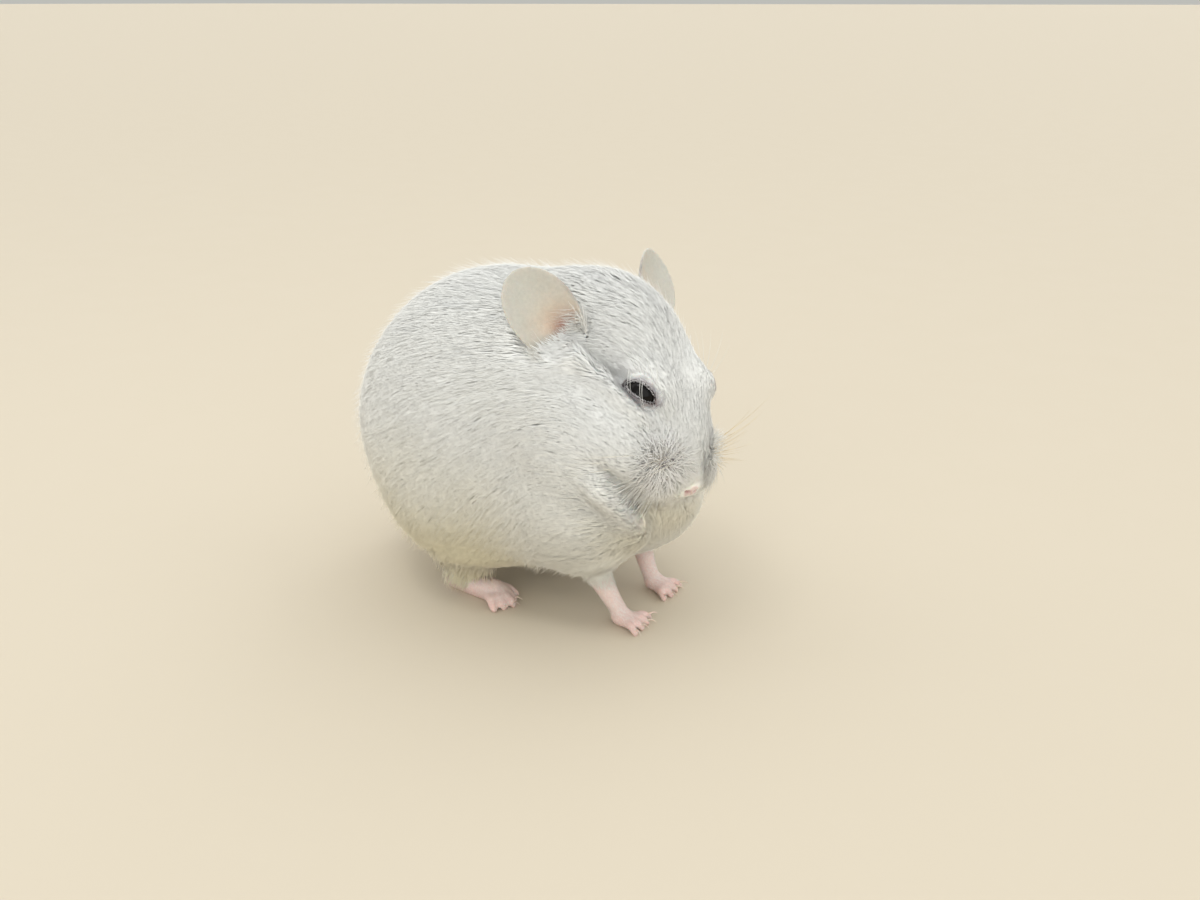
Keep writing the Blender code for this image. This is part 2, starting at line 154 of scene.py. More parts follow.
def meshFrom(name, points, faces):
    mesh = bpy.data.meshes.new(name)
    faces = np.asarray(faces, np.int32)
    mesh.vertices.add(len(points))
    mesh.vertices.foreach_set("co", np.asarray(points, np.float32).ravel())
    mesh.loops.add(faces.size)
    mesh.loops.foreach_set("vertex_index", faces.ravel())
    mesh.polygons.add(len(faces))
    mesh.polygons.foreach_set("loop_start", np.arange(0, faces.size, faces.shape[1], dtype=np.int32))
    mesh.update(calc_edges=True)
    mesh.validate()
    mesh.shade_smooth()
    return mesh


def addObject(name, data):
    item = bpy.data.objects.new(name, data)
    bpy.context.scene.collection.objects.link(item)
    return item


def addPiece(name, mesh, material):
    mesh.materials.append(material)
    piece = addObject(name, mesh)
    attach(piece, "root")
    return piece


def worked(points, faces, kind, chosen=(), **settings):
    # a rough shape after one modifier, as points and triangles
    shape = addObject("rough", meshFrom("rough", points, faces))
    if len(chosen):
        shape.vertex_groups.new(name="chosen").add(chosen.tolist(), 1.0, "REPLACE")
    modifier = shape.modifiers.new("work", kind)
    for setting, value in settings.items():
        setattr(modifier, setting, value)
    graph = bpy.context.evaluated_depsgraph_get()
    arrays = spent(bpy.data.meshes.new_from_object(shape.evaluated_get(graph)))
    bpy.data.meshes.remove(shape.data)
    return arrays


def joined(shapes):
    points, faces, count = [], [], 0
    for somePoints, someFaces in shapes:
        points.append(somePoints)
        faces.append(someFaces + count)
        count += len(somePoints)
    return np.concatenate(points), np.concatenate(faces)


def repeated(faces, count, each):
    # the faces of one small shape, for many shapes of that many points
    return (np.array(faces)[None] + (np.arange(count) * each)[:, None, None]).reshape(-1, 3)


def remeshed(shapes, voxel):
    return worked(*joined(shapes), "REMESH", mode="VOXEL", voxel_size=voxel)


def pointNormals(points, triangles):
    faceNormals = np.cross(*edgesOf(points[triangles]))
    normals = np.zeros_like(points)
    for corner, axis in product(range(3), repeat=2):
        normals[:, axis] += np.bincount(triangles[:, corner], faceNormals[:, axis], len(points))
    return unit(normals)


def smoothed(points, triangles, rounds, share=0.5):
    # each point moves towards the middle of its neighbours
    points = points.copy()
    starts = triangles.ravel()
    ends = np.roll(triangles, -1, axis=1).ravel()
    count = np.maximum(np.bincount(starts, minlength=len(points)), 1)
    for _ in range(rounds):
        for axis in range(3):
            middle = np.bincount(starts, points[ends, axis], len(points)) / count
            points[:, axis] += (middle - points[:, axis]) * share
    return points


def nodeShape(name, grown=0.0):
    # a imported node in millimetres, with its corners welded, pushed out by grown
    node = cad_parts[name]
    points, triangles = meshArrays(node.data)
    turn = np.array(node.matrix_world)
    points = (points @ turn[:3, :3].T + turn[:3, 3]) / mm
    cells = np.round(points * 200).astype(np.int64)
    _, first, where = np.unique(cells, axis=0, return_index=True, return_inverse=True)
    triangles = where.ravel()[triangles]
    triangles = triangles[(triangles != np.roll(triangles, 1, axis=1)).all(axis=1)]
    points = points[first]
    return points + pointNormals(points, triangles) * grown, triangles


def nodeBox(name):
    low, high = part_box(name)
    return np.array(low) / mm, np.array(high) / mm


def nodeMiddle(name):
    low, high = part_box(name)
    return (np.array(low) + np.array(high)) / 2 / mm


def built(building):
    mesh = bpy.data.meshes.new("built")
    building.to_mesh(mesh)
    building.free()
    return spent(mesh)


def ballShape(centre, radius, rings=12, spokes=20):
    building = bmesh.new()
    bmesh.ops.create_uvsphere(building, u_segments=spokes, v_segments=rings, radius=1)
    points, triangles = built(building)
    return points * radius + centre, triangles


# the head's own frame: x to the front, y to the left, z to the top of the skull

headSpec = {
    "eye": (10.2, 6.5, 5.2),       # the left eye's middle
    "noseFall": 36.2,              # how far the nose lies below the eyes, seen from between them
    "noseTip": (26.4, 0.0, -5.0),
    "whiskerPad": (21.4, 7.1, -0.4),
}
eyes = {1: nodeMiddle("eye_left"), -1: nodeMiddle("eye_right")}


def findHead():
    left = unit(eyes[1] - eyes[-1])
    between = (eyes[1] + eyes[-1]) / 2
    ahead = nodeMiddle("nose") - between
    ahead = unit(ahead - left * (ahead @ left))
    upward = np.cross(ahead, left)
    fall = radians(headSpec["noseFall"])
    forward = ahead * cos(fall) + upward * sin(fall)
    top = upward * cos(fall) - ahead * sin(fall)
    origin = between - forward * headSpec["eye"][0] - top * headSpec["eye"][2]
    return np.array((forward, left, top)), origin


headAxes, headOrigin = findHead()


def inHead(points):
    return (points - headOrigin) @ headAxes.T


def inHalf(points):
    # how far ahead, how far aside to either side, and how far up in the head's frame
    ahead, across, up = inHead(points).T
    return ahead, np.abs(across), up


def headway(direction, side=1):
    # a direction in the head's frame, on the left (1) or mirrored to the right (-1)
    return (np.asarray(direction) * (1, side, 1)) @ headAxes


def fromHead(place, side=1):
    return headOrigin + headway(place, side)


def eyeAway(points):
    return np.minimum(apart(points, eyes[1]), apart(points, eyes[-1]))


noseTip = fromHead(headSpec["noseTip"])


# the ears: cupped leaves whose root runs on into the head

earSpec = {
    "length": 15.6,
    "width": 13.0,
    "thickness": 0.85,
    "cup": 2.7,                    # how deep the ear is hollowed
    "rootWidth": 0.6,
    "buried": 5.0,                 # how far the root runs into the head
    "base": {-1: (-2.6, 14.6, 5.4), 1: (-7.8, 10.6, 5.4)},
    "along": {-1: (-0.91, 0.42, 0.38), 1: (-0.77, 0.52, 0.32)},
    "facing": {-1: (0.72, 0.50, 0.50), 1: (0.62, 0.20, 0.76)},
}


def earFrame(side):
    along = unit(headway(earSpec["along"][side], side))
    facing = headway(earSpec["facing"][side], side)
    facing = unit(facing - along * (facing @ along))
    across = np.cross(along, facing) * side
    return fromHead(earSpec["base"][side], side), np.array((across, along, facing))


ears = {-1: earFrame(-1), 1: earFrame(1)}


def inEar(points, side):
    base, axes = ears[side]
    return (points - base) @ axes.T


def earDepth(across, along):
    # how far the middle of the leaf lies behind the plane of its rim
    hollow = earSpec["cup"] * (1 - (across / (earSpec["width"] / 2)) ** 2)
    curl = 0.05 * (along - earSpec["length"] * 0.48) ** 2 / 4
    return -hollow + curl - 0.9 * bell((across + 1.6) / 2.2, (along - 3.0) / 2.6)


def earShare(points, side):
    across, along, depth = inEar(points, side).T
    outline = (across / (earSpec["width"] / 2 + 0.8)) ** 2
    share = ramp(np.abs(depth - earDepth(across, along)), 2.2, 1.3) * ramp(outline, 1.2, 1.0)
    return share * ramp(along, 0.3, 3.2) * (along < earSpec["length"] + 1.5)


def earsShare(points):
    return most(earShare(points, -1), earShare(points, 1))


def openEars(points):
    # clears the flesh from in front of each ear's bowl
    for side, (base, axes) in ears.items():
        place = inEar(points, side)
        across, along, depth = place.T
        over = depth - earDepth(across, along) - 0.15
        share = ramp(along, -2.0, 1.0) * ramp(along, 8, 5) * ramp(np.abs(across), 5.6, 3.6)
        share = share * ramp(over, 7, 4)
        place[:, 2] -= np.maximum(over, 0) * share
        points = np.where((share > 0)[:, None], place @ axes + base, points)
    return points


def earShape(side, rings=16, spokes=64):
    base, axes = ears[side]
    middle = earSpec["length"] * 0.48
    turn = np.arange(spokes)
    angle = turn * 2 * pi / spokes
    rise = (1 + np.sin(angle)) / 2
    widening = mix(earSpec["rootWidth"], 1, np.sin(rise * pi / 2) ** 0.8)
    rimAcross = np.cos(angle) * earSpec["width"] / 2 * widening
    rimAlong = rise * (earSpec["length"] + earSpec["buried"]) - earSpec["buried"]
    points, faces = [], []
    for half, ring in product((1, -1), range(rings + 1)):
        share = ring / rings
        across, along = rimAcross * share, middle + (rimAlong - middle) * share
        thickness = earSpec["thickness"] / 2 * (1 - 0.3 * share**4) + 0.9 * ramp(along, 3.0, -3.0)
        points.append(np.stack((across, along, earDepth(across, along) + half * thickness), axis=1))
    # strips between rings, the last of them round the rim
    pairs = [(ring, ring + 1) for ring in range(2 * rings + 1) if ring != rings]
    for inner, outer in pairs + [(rings, 2 * rings + 1)]:
        low, high = turn + inner * spokes, turn + outer * spokes
        lowAfter, highAfter = np.roll(low, -1), np.roll(high, -1)
        faces += [np.stack((low, high, highAfter), 1), np.stack((low, highAfter, lowAfter), 1)]
    return np.concatenate(points) @ axes + base, np.concatenate(faces)


# the folds of the turned neck: each runs along a path in the head's frame, with a soft ridge on
# one side and a hollow on the other

foldSpec = {
    "cheek": {
        "path": ((-7.0, 12.9, 7.3), (-4.1, 13.3, 6.8), (-0.7, 13.5, 6.2), (2.0, 12.9, 6.0),
                 (5.0, 11.8, 5.7), (7.4, 10.6, 5.5), (9.7, 9.5, 5.4), (12.1, 8.8, 5.5),
                 (14.2, 8.1, 5.1), (16.5, 7.4, 4.1), (17.8, 7.9, 2.4)),
        "outward": (0.25, 0.72, 0.65),
        "ridge": 1.7,
        "hollow": 1.6,
        "reach": 8.0,
        "grows": (-0.05, 0.12),    # the share of its path by which a fold has come in, and gone again
        "fades": (1.0, 0.6),
    },
    "shoulder": {
        "path": ((14.5, 19.5, -3.8), (16.8, 18.0, -4.1), (19.0, 16.2, -4.6), (20.5, 14.2, -5.6),
                 (21.5, 11.0, -7.6), (21.9, 8.2, -10.0), (22.6, 5.5, -12.6), (23.0, 2.2, -16.3),
                 (22.6, -1.1, -20.8)),
        "outward": (0.78, 0.6, 0.0),
        "ridge": 1.9,
        "hollow": 1.6,
        "reach": 7.0,
        "grows": (0.05, 0.35),
        "fades": (1.0, 0.75),
    },
}
shoulderSpec = {"middle": (19.5, 15.0, -15.0), "out": 2.2, "reach": 8.5}
foldStrength = {-1: 1, 1: 0.35}    # the left side is stretched by the turn, so its folds are slighter


def alongFold(spec, points, side):
    # how far each point lies over to the hollow's side, and how strongly the fold works there
    corners = fromHead(spec["path"], side)
    steps = np.linspace(0, len(corners) - 1, 61)
    path = np.stack([np.interp(steps, np.arange(len(corners)), axis) for axis in corners.T], axis=1)
    over = unit(np.cross(headway(spec["outward"], side), unit(np.gradient(path, axis=0)))) * -side
    across, strength = np.zeros(len(points)), np.zeros(len(points))
    near = np.flatnonzero(apart(points, path.mean(0)) < 28)
    away = points[near, None] - path[None]
    distance = np.linalg.norm(away, axis=2)
    nearest = distance.argmin(axis=1)
    rows = np.arange(len(near))
    across[near] = dot(away[rows, nearest], over[nearest])
    ends = ramp(nearest / 60, *spec["grows"]) * ramp(nearest / 60, *spec["fades"])
    strength[near] = ends * ramp(distance[rows, nearest], spec["reach"], spec["reach"] * 0.6)
    return across, strength * foldStrength[side]


def foldPush(points):
    # how far the folds push the surface out, and how much of a hollow's floor each point is
    push, floor = np.zeros(len(points)), np.zeros(len(points))
    for spec, side in product(foldSpec.values(), (-1, 1)):
        across, strength = alongFold(spec, points, side)
        hollow = bell((across - 1.1) / 1.3)
        push += (spec["ridge"] * bell((across + 1.7) / 1.8) - spec["hollow"] * hollow) * strength
        floor = np.maximum(floor, hollow * strength)
    for side in (-1, 1):
        away = apart(points, fromHead(shoulderSpec["middle"], side)) / shoulderSpec["reach"]
        push += shoulderSpec["out"] * bell(away) * foldStrength[side]
    return push * (1 - earsShare(points)), floor


# the coat's depth over the skin, which the skin is drawn in by

coatDepth = {
    "fromNose": (3, 6, 12, 20, 28, 40),
    "depth": (0.15, 0.35, 0.6, 0.9, 1.6, 2.3),
    "eyelids": 0.25,
    "limbs": 0.45,
    "earRoots": 0.7,
}


def muzzleReach(points):
    # the way from the nose over the coat, longer under the chin, where the coat is fuller
    return apart(points, noseTip) + 9.0 * ramp(inHead(points)[:, 2], -8.5, -14.0)


def depthOver(points):
    depth = np.interp(muzzleReach(points), coatDepth["fromNose"], coatDepth["depth"])
    spots = [("eyelids", eye, 1, 3.5, 8.0) for eye in eyes.values()]
    spots += [("earRoots", base, 1, 3.0, 8.0) for base, _ in ears.values()]
    spots += [("limbs", nodeMiddle(paw), (1, 1, 0.8), 8.0, 13.0) for paw in paws]
    spots.append(("limbs", nodeBox("tail")[0] * (1, 0, 1) + (3, 0, 2), 1, 4.0, 10.0))
    for kind, spot, squash, near, far in spots:
        depth = mix(coatDepth[kind], depth, ramp(apart(points * squash, spot * squash), near, far))
    return depth


# the skin's shape

skinSpec = {
    "bulkVoxel": 0.6,
    "voxel": 0.3,
    "closing": 0.3,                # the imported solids' thin cuts are closed by this much
    "hiddenShare": 0.3,            # what is left of the triangles under the long coat
}


def skinBulk():
    shapes = [nodeShape(name, skinSpec["closing"]) for name in flesh]
    shapes += [ballShape(eye, lidSpec["ball"]) for eye in eyes.values()]
    points, triangles = remeshed(shapes, skinSpec["bulkVoxel"])
    points = smoothed(points, triangles, 4)
    depth = depthOver(points) + 0.1
    for _ in range(5):
        points -= pointNormals(points, triangles) * (depth / 5)[:, None]
        points = smoothed(points, triangles, 2, 0.3)
    return points, triangles


def skinWhole():
    shapes = [skinBulk()]
    for name in (*paws, "tail"):
        shapes.append(worked(*nodeShape(name, 0.12), "SUBSURF", levels=2, render_levels=2))
    for side, (base, _) in ears.items():
        root = base - headway((0.3, 0.7, 0.65), side) * 3.2
        shapes += [earShape(side), ballShape(root, 2.4)]
    points, triangles = remeshed(shapes, skinSpec["voxel"])
    return smoothed(points, triangles, 3), triangles


def cutFiner(points, triangles, wanted):
    # splits the wanted triangles' edges, for creases finer than the voxels
    mesh = meshFrom("finer", points, triangles)
    building = bmesh.new()
    building.from_mesh(mesh)
    bpy.data.meshes.remove(mesh)
    chosen = [edge for edge in building.edges if all(wanted[end.index] for end in edge.verts)]
    bmesh.ops.subdivide_edges(building, edges=chosen, cuts=1, use_grid_fill=True)
    bmesh.ops.triangulate(building, faces=building.faces)
    return built(building)


# the eyes' lids, the nose and the mouth, worked into the skin in the head's frame

lidSpec = {
    "ball": 3.1,
    "thickness": 0.32,
    "facing": {-1: (0.27, 0.90, 0.46), 1: (-0.10, 0.96, 0.20)},  # from the eye's middle to the opening's
    "slit": (0.93, -0.35, 0.11),   # from its back corner to its front one
    "halfLength": {-1: 60.0, 1: 50.0},  # degrees round the ball from the middle to a corner
    "upper": 33.0,
    "lower": 7.0,
    "inside": 1.1,                 # how far the skin dips in under the ball's surface
}


def lidFrame(side):
    facing = unit(headway(lidSpec["facing"][side], side))
    slit = headway(lidSpec["slit"], side)
    slit = unit(slit - facing * (slit @ facing))
    return np.array((slit, np.cross(facing, slit) * -side, facing))


def lidEdge(points, side):
    # how far a point is outside the opening between the lids, in millimetres round the ball
    across, rise, out = (unit(points - eyes[side]) @ lidFrame(side).T).T
    turn = np.degrees(np.arctan2(across, out))
    lift = np.degrees(np.arcsin(np.clip(rise, -1, 1)))
    half = lidSpec["halfLength"][side]
    along = np.clip(turn / half, -1, 1)
    bow = 1 - along**2
    upper = lidSpec["upper"] * bow ** np.where(along > 0, 0.5, 0.9)
    lower = lidSpec["lower"] * bow ** np.where(along > 0, 0.7, 1.0)
    over = np.where(lift > 0, lift - upper, -lift - lower)
    beyond = np.abs(turn) - half
    over = np.where(beyond > 0, np.hypot(beyond, lift), over)
    return np.radians(over) * (lidSpec["ball"] + lidSpec["thickness"])


def shapeLids(points):
    ball = lidSpec["ball"]
    for side, eye in eyes.items():
        away = points - eye
        reach = np.linalg.norm(away, axis=1)
        edge = lidEdge(points, side)
        lid = ball + lidSpec["thickness"] + 0.08 * bell((edge - 0.25) / 0.3)
        gap = reach - lid
        outer = lid + np.maximum(gap, 0) + 0.25 * bell(gap / 0.5) * (gap > 0)
        outer -= 0.12 * bell((edge - 1.2) / 0.35) * (reach < lid + 1.5)
        wanted = mix(ball - lidSpec["inside"], outer, ramp(edge, -0.3, 0.04))
        near = reach < ball + 2.2
        points[near] = eye + away[near] / reach[near, None] * wanted[near, None]
    return points


noseSpec = {
    "nostril": (1.0, -5.0),        # aside and up
    "nostrilSize": (0.55, 0.38),
    "nostrilDepth": 0.75,
    "philtrumDepth": 0.35,
    "mouth": -9.4,                 # how far down the mouth's corners meet under the nose
}


def nostrilShare(aside, up, wide, high):
    middle, level = noseSpec["nostril"]
    return bell((aside - middle) / wide, (up - level - 0.25 * aside) / high)


def lipHeight(aside, up):
    return up - noseSpec["mouth"] + 0.10 * aside**2


def shapeNose(points, triangles):
    ahead, aside, up = inHalf(points)
    push = 0.16 * bell((aside - 1.15) / 0.9, (up + 4.2) / 0.5)
    push -= noseSpec["nostrilDepth"] * nostrilShare(aside, up, *noseSpec["nostrilSize"])
    philtrum = bell(aside / 0.22) * ramp(up, -4.9, -5.6) * ramp(up, -10.5, -9.4)
    push -= noseSpec["philtrumDepth"] * philtrum
    push -= 0.4 * bell(lipHeight(aside, up) / 0.28) * ramp(aside, 5.0, 3.5)
    push *= ramp(ahead, 20.5, 23.0)
    return points + pointNormals(points, triangles) * push[:, None]


def finishShape(points, triangles):
    # the folds, then finer triangles round the eyes and the nose, and the sculpting there
    normals = smoothed(pointNormals(points, triangles), triangles, 12)
    points = openEars(points + unit(normals) * foldPush(points)[0][:, None])
    for roundEyes, roundNose in ((5.2, 5), (4.2, 3.2)):
        near = (eyeAway(points) < roundEyes) | (apart(points, noseTip) < roundNose)
        points, triangles = cutFiner(points, triangles, near)
    return shapeNose(shapeLids(points), triangles), triangles


# the toes' claws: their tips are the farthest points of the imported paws

clawSpec = {
    "angles": {"forepaw": (-34, -11, 11, 34), "hindpaw": (-30, -14, 0, 14, 32)},
    "turn": {"forepaw": -6, "hindpaw": 7},
    "palmBack": {"forepaw": 5.7, "hindpaw": 6.2},  # from the paw's front to the toes' common middle
    "length": 1.9,
    "radius": 0.26,
    "root": paint(214, 190, 176),
    "tip": paint(238, 224, 212),
}


def clawPlaces():
    places = []
    for paw, side in zip(paws, (1, -1, 1, -1)):
        kind = paw.split("_")[0]
        points = nodeShape(paw)[0]
        toes = points[points[:, 2] < 2.5]
        palm = np.array((points[:, 0].max() - clawSpec["palmBack"][kind], np.median(toes[:, 1]), 0))
        away = (toes - palm) * (1, 1, 0)
        for degrees in clawSpec["angles"][kind]:
            heading = radians(degrees + clawSpec["turn"][kind] * side)
            ahead = np.array((cos(heading), sin(heading), 0))
            beside = np.abs(away @ np.array((-ahead[1], ahead[0], 0)))
            reach = np.where(beside < 0.25 * np.linalg.norm(away, axis=1), away @ ahead, -9)
            tip = toes[np.argmax(reach)]
            places.append((paw, tip, unit((tip - palm) * (1, 1, 0))))
    return places


claws = clawPlaces()


def shapeToes(points):
    # the skin ends in round toes where the claws begin
    back = clawSpec["length"] * 0.75
    for _, tip, ahead in claws:
        away = points - tip
        along = away @ ahead
        near = (along > -back) & (apart(away, along[:, None] * ahead) < 1.1) & (along < 1)
        points[near] -= ahead * ((along[near] + back) * 0.82)[:, None]
    return points


def thinned(points, triangles):
    # fewer triangles where the long coat hides the skin
    fine = (eyeAway(points) < 7) | (apart(points, noseTip) < 12)
    for base, axes in ears.values():
        fine |= apart(points, base + axes[1] * 7) < 10
    for name in (*paws, "tail"):
        low, high = nodeBox(name)
        fine |= ((points > low - 0.5) & (points < high + 0.5)).all(axis=1)
    share = fine[triangles].any(axis=1).mean()
    ratio = share + (1 - share) * skinSpec["hiddenShare"]
    hidden = np.flatnonzero(~fine)
    return worked(points, triangles, "DECIMATE", hidden, ratio=ratio, vertex_group="chosen")


skinPoints, skinTriangles = finishShape(*skinWhole())
skinPoints = shapeToes(skinPoints)
say(f"skin shaped, {len(skinTriangles)} triangles")
skinPoints, skinTriangles = thinned(skinPoints, skinTriangles)
skinNormals = pointNormals(skinPoints, skinTriangles)
skinTree = BVHTree.FromPolygons(skinPoints.tolist(), skinTriangles.tolist())
say(f"skin thinned to {len(skinTriangles)} triangles")


# how much of each bare or short-haired part a point belongs to, from 0 to 1

def inBox(points, name, margin):
    low, high = nodeBox(name)
    beyond = np.maximum(np.maximum(low - points, points - high), 0)
    return ramp(np.linalg.norm(beyond, axis=1), margin, 0)


def pairShare(points, kind, margin, top, bottom):
    # round a pair of paws, gone above the top
    pair = [inBox(points, f"{kind}_{word}", margin) for _, word in sides]
    return most(*pair) * ramp(points[:, 2], top, bottom)


def pawShare(points):
    fore = pairShare(points, "forepaw", 1.6, 10.5, 7.0)
    return most(fore, pairShare(points, "hindpaw", 1.2, 6.8, 4.2))


def armShare(points):
    # the thinly haired forearms above the paws
    return pairShare(points, "forepaw", 4.0, 13.5, 10.0)


def tailShare(points):
    return inBox(points, "tail", 0.6) * ramp(points[:, 0], -29.0, -31.5)


def noseShare(points):
    ahead, aside, up = inHalf(points)
    return ramp(np.hypot(aside / 1.6, (up + 4.9) / 1.35), 1.15, 0.8) * (ahead > 22)


def padDistance(points):
    # from the middle of the nearer whisker pad, measured over the muzzle
    return apart(np.stack(inHalf(points), axis=1), headSpec["whiskerPad"])


def onRight(points):
    return inHead(points)[:, 1] < 0


def eyeEdge(points):
    # millimetres from the opening of the nearer eye
    nearRight = apart(points, eyes[-1]) < apart(points, eyes[1])
    edge = np.where(nearRight, lidEdge(points, -1), lidEdge(points, 1))
    beyond = np.maximum(eyeAway(points) - lidSpec["ball"] - 0.6, 0)
    return np.where(edge > 0, np.hypot(edge, beyond), edge)


# colours that the skin and the coat share

tints = {
    "top": paint(252, 253, 250),
    # the low coat's cream, with painted shade and warm bounce light from below
    "low": paint(240, 231, 200),
    "streak": paint(196, 200, 206),
    # grey round the eyes: partly the fur's own grey, partly painted shade
    "eyeShade": paint(172, 168, 174),
    "padShade": paint(250, 248, 250),
    "paw": paint(234, 210, 204),
    "toe": paint(228, 194, 186),
    "nose": paint(226, 208, 204),
    "nostril": paint(160, 112, 108),
    # the lids' dark rim, also used for the painted shadow in the eyes' back corners
    "lid": paint(52, 45, 47),
    "lidSkin": paint(150, 142, 145),
    "earTip": paint(196, 195, 186),
    "earMiddle": paint(216, 198, 178),
    "earDeep": paint(166, 116, 104),
    "earBack": paint(214, 210, 202),
    "earEdge": paint(150, 149, 146),
    "follicle": paint(52, 45, 48),
    "pad": paint(134, 118, 126),
    "tail": paint(232, 200, 190),
}
furDimness = 0.985
padSpec = {
    "bare": (0.6, 0.05),           # how much of the pad's colour shows, on the right and the left
    "follicles": {-1: 0.9, 1: 0.3},
}


def laid(colour, *layers):
    # tints laid over a colour, each by its share at each point
    for name, share in layers:
        colour = blended(colour, tints[name], share)
    return colour


def furColour(points):
    x, y, z = points.T
    ahead, aside, up = inHalf(points)
    # creamier low on the flanks and under the chin, part cream and part painted shade; whiter on the lit
    # shoulders
    low = ramp(z + 3.0 * patchy(points, 9.0, 3), 42, 13) * (0.3 + 0.7 * ramp(x, 14, 0))
    chin = 0.6 * ramp(up, -8, -14) * ramp(apart(points, noseTip), 24, 10)
    # grey tips in thin streaks along the lie of the coat, over the nape and the back
    stretched = points * (0.30, 1.35, 1.35)
    streak = ramp(patchy(stretched, 2.6, 11) + 0.5 * patchy(stretched, 1.1, 12), 0.25, 0.95)
    back = ramp(z, 42, 52) * ramp(x, -26, -14) * ramp(ahead, 6, -6)
    back = back * (0.45 + 0.55 * ramp(np.abs(y), 4, 12))
    crown = ramp(np.abs(aside - 3.2), 2.6, 0.6) * ramp(up, 9, 12)
    crown = crown * ramp(ahead, -16, -8) * ramp(ahead, 8, 0)
    # round each eye, part grey fur and part painted shade, darkest at the lid's edge and spread wider
    # behind
    edge, behind = eyeEdge(points), ramp(ahead, 13, 6)
    shade = ramp(edge, 2.0 + 3.0 * behind, 0.2) * (0.42 - 0.14 * behind) + 0.3 * ramp(edge, 1.3, 0.5)
    return furDimness * laid(
        tints["top"], ("low", np.maximum(low, chin)), ("streak", 0.25 * streak * back),
        ("streak", 0.12 * crown), ("eyeShade", shade),
        ("padShade", 0.5 * ramp(padDistance(points), 5.5, 1.5)),
    )


def follicles():
    # the roots of the whiskers, in bowed rows over each pad
    roots = []
    for side, row in product((-1, 1), range(5)):
        for column in range(4 + row % 2):
            ahead = (column - 1.8) * 1.15 + 0.5 * (row % 2)
            up = row - 2 - 0.12 * ahead
            offset = (0.25 * ahead - 0.3 * up, -0.85 * ahead, 0.1 * ahead + 0.95 * up)
            roots.append((side, row, column, fromHead(np.add(headSpec["whiskerPad"], offset), side)))
    return roots


whiskerRoots = follicles()


def earColour(points, side):
    across, along, depth = inEar(points, side).T
    rosy = bell((across + 0.6) / 4.0, (along - 4.2) / 4.0)
    deep = bell((across + 1.9) / 2.2, (along - 2.2) / 2.6)
    inner = laid(tints["earTip"], ("earMiddle", rosy), ("earDeep", np.clip(1.1 * deep, 0, 1)))
    inner = np.where((depth > earDepth(across, along))[:, None], inner, tints["earBack"])
    rim = ramp(np.abs(across) / (earSpec["width"] / 2), 0.78, 0.93) * ramp(along, 15, 12)
    return laid(inner, ("earEdge", 0.8 * rim * (across < 0)))


def hideColour(points):
    ahead, aside, up = inHalf(points)
    paw = pawShare(points)
    colour = laid(
        furColour(points), ("paw", 0.6 * armShare(points)), ("paw", paw),
        ("toe", paw * ramp(points[:, 2], 3.2, 1.2) * 0.8), ("tail", tailShare(points)),
    )
    for side in ears:
        colour = blended(colour, earColour(points, side), earShare(points, side))
    bare = np.where(onRight(points), *padSpec["bare"])
    layers = [("pad", bare * ramp(padDistance(points), 5.6, 3.4))]
    for side, _, _, root in whiskerRoots:
        dark = padSpec["follicles"][side]
        layers.append(("follicle", dark * ramp(apart(points, root), 0.55, 0.3)))
    edge = eyeEdge(points)
    nostril = nostrilShare(aside, up, 0.6, 0.42) * (ahead > 22)
    layers += [("nose", noseShare(points)), ("nostril", nostril), ("lidSkin", 0.85 * ramp(edge, 1.6, 0.5))]
    # a painted shadow of the lids in each eye's back corner, in the lid's dark colour
    for side, eye in eyes.items():
        slit, _, facing = lidFrame(side)
        corner = eye + (facing * 0.42 - slit * 0.9) * lidSpec["ball"] * 1.1
        layers.append(("lid", 0.9 * ramp(apart(points, corner), 1.25, 0.5)))
    return laid(colour, *layers, ("lid", ramp(edge, 0.42, 0.12)))


# the coat: each tuft is a closed three-sided spike that follows the skin with one bend

coatSpec = {
    "lengths": {"fromNose": (3, 6, 11, 18, 26, 36, 46), "long": (1.1, 1.7, 2.3, 3.0, 4.3, 5.6, 6.4)},
    "widths": {"fromNose": (3, 8, 16, 28, 40), "wide": (0.12, 0.15, 0.20, 0.26, 0.29)},
    "perArea": {"fromNose": (3, 8, 16, 26, 36, 46), "count": (30, 28, 17, 12.5, 10.2, 9.3)},
    "armLong": 1.6,
    "pawLong": 0.7,                # on the ears too
    "tailLong": 1.7,
    "limbWide": 0.14,
    "limbCount": 17,
    "earCount": 9,
    "padLong": 3.0,
    "padWide": 0.19,
    "padCount": (7, 26),           # on the right and the left whisker pad
    "flatness": 0.2,               # a tuft's thickness for its width
    "shortUnder": 2.0,             # tufts shorter than this are straight
    "guardShare": 0.12,            # long thin hairs among the tufts
    "lockTurn": 10.0,              # degrees that neighbouring tufts turn together
    "strayTurn": 7.0,
    "unwrapped": 14000,            # triangles of the coarse skin that the bake map unwraps
    "patch": 0.003,                # the size of a tuft on its bake map
    # where a tuft's points lie in its patch of the bake map
    "bent": ((0.1, 0.0), (0.9, 0.05), (0.5, 0.2), (0.05, 0.5), (0.95, 0.55), (0.45, 0.75), (0.5, 1.0)),
    "straight": ((0.1, 0.0), (0.9, 0.1), (0.4, 0.35), (0.5, 1.0)),
}


def alongSkin(lie, normals):
    return unit(lie - normals * dot(lie, normals)[:, None])


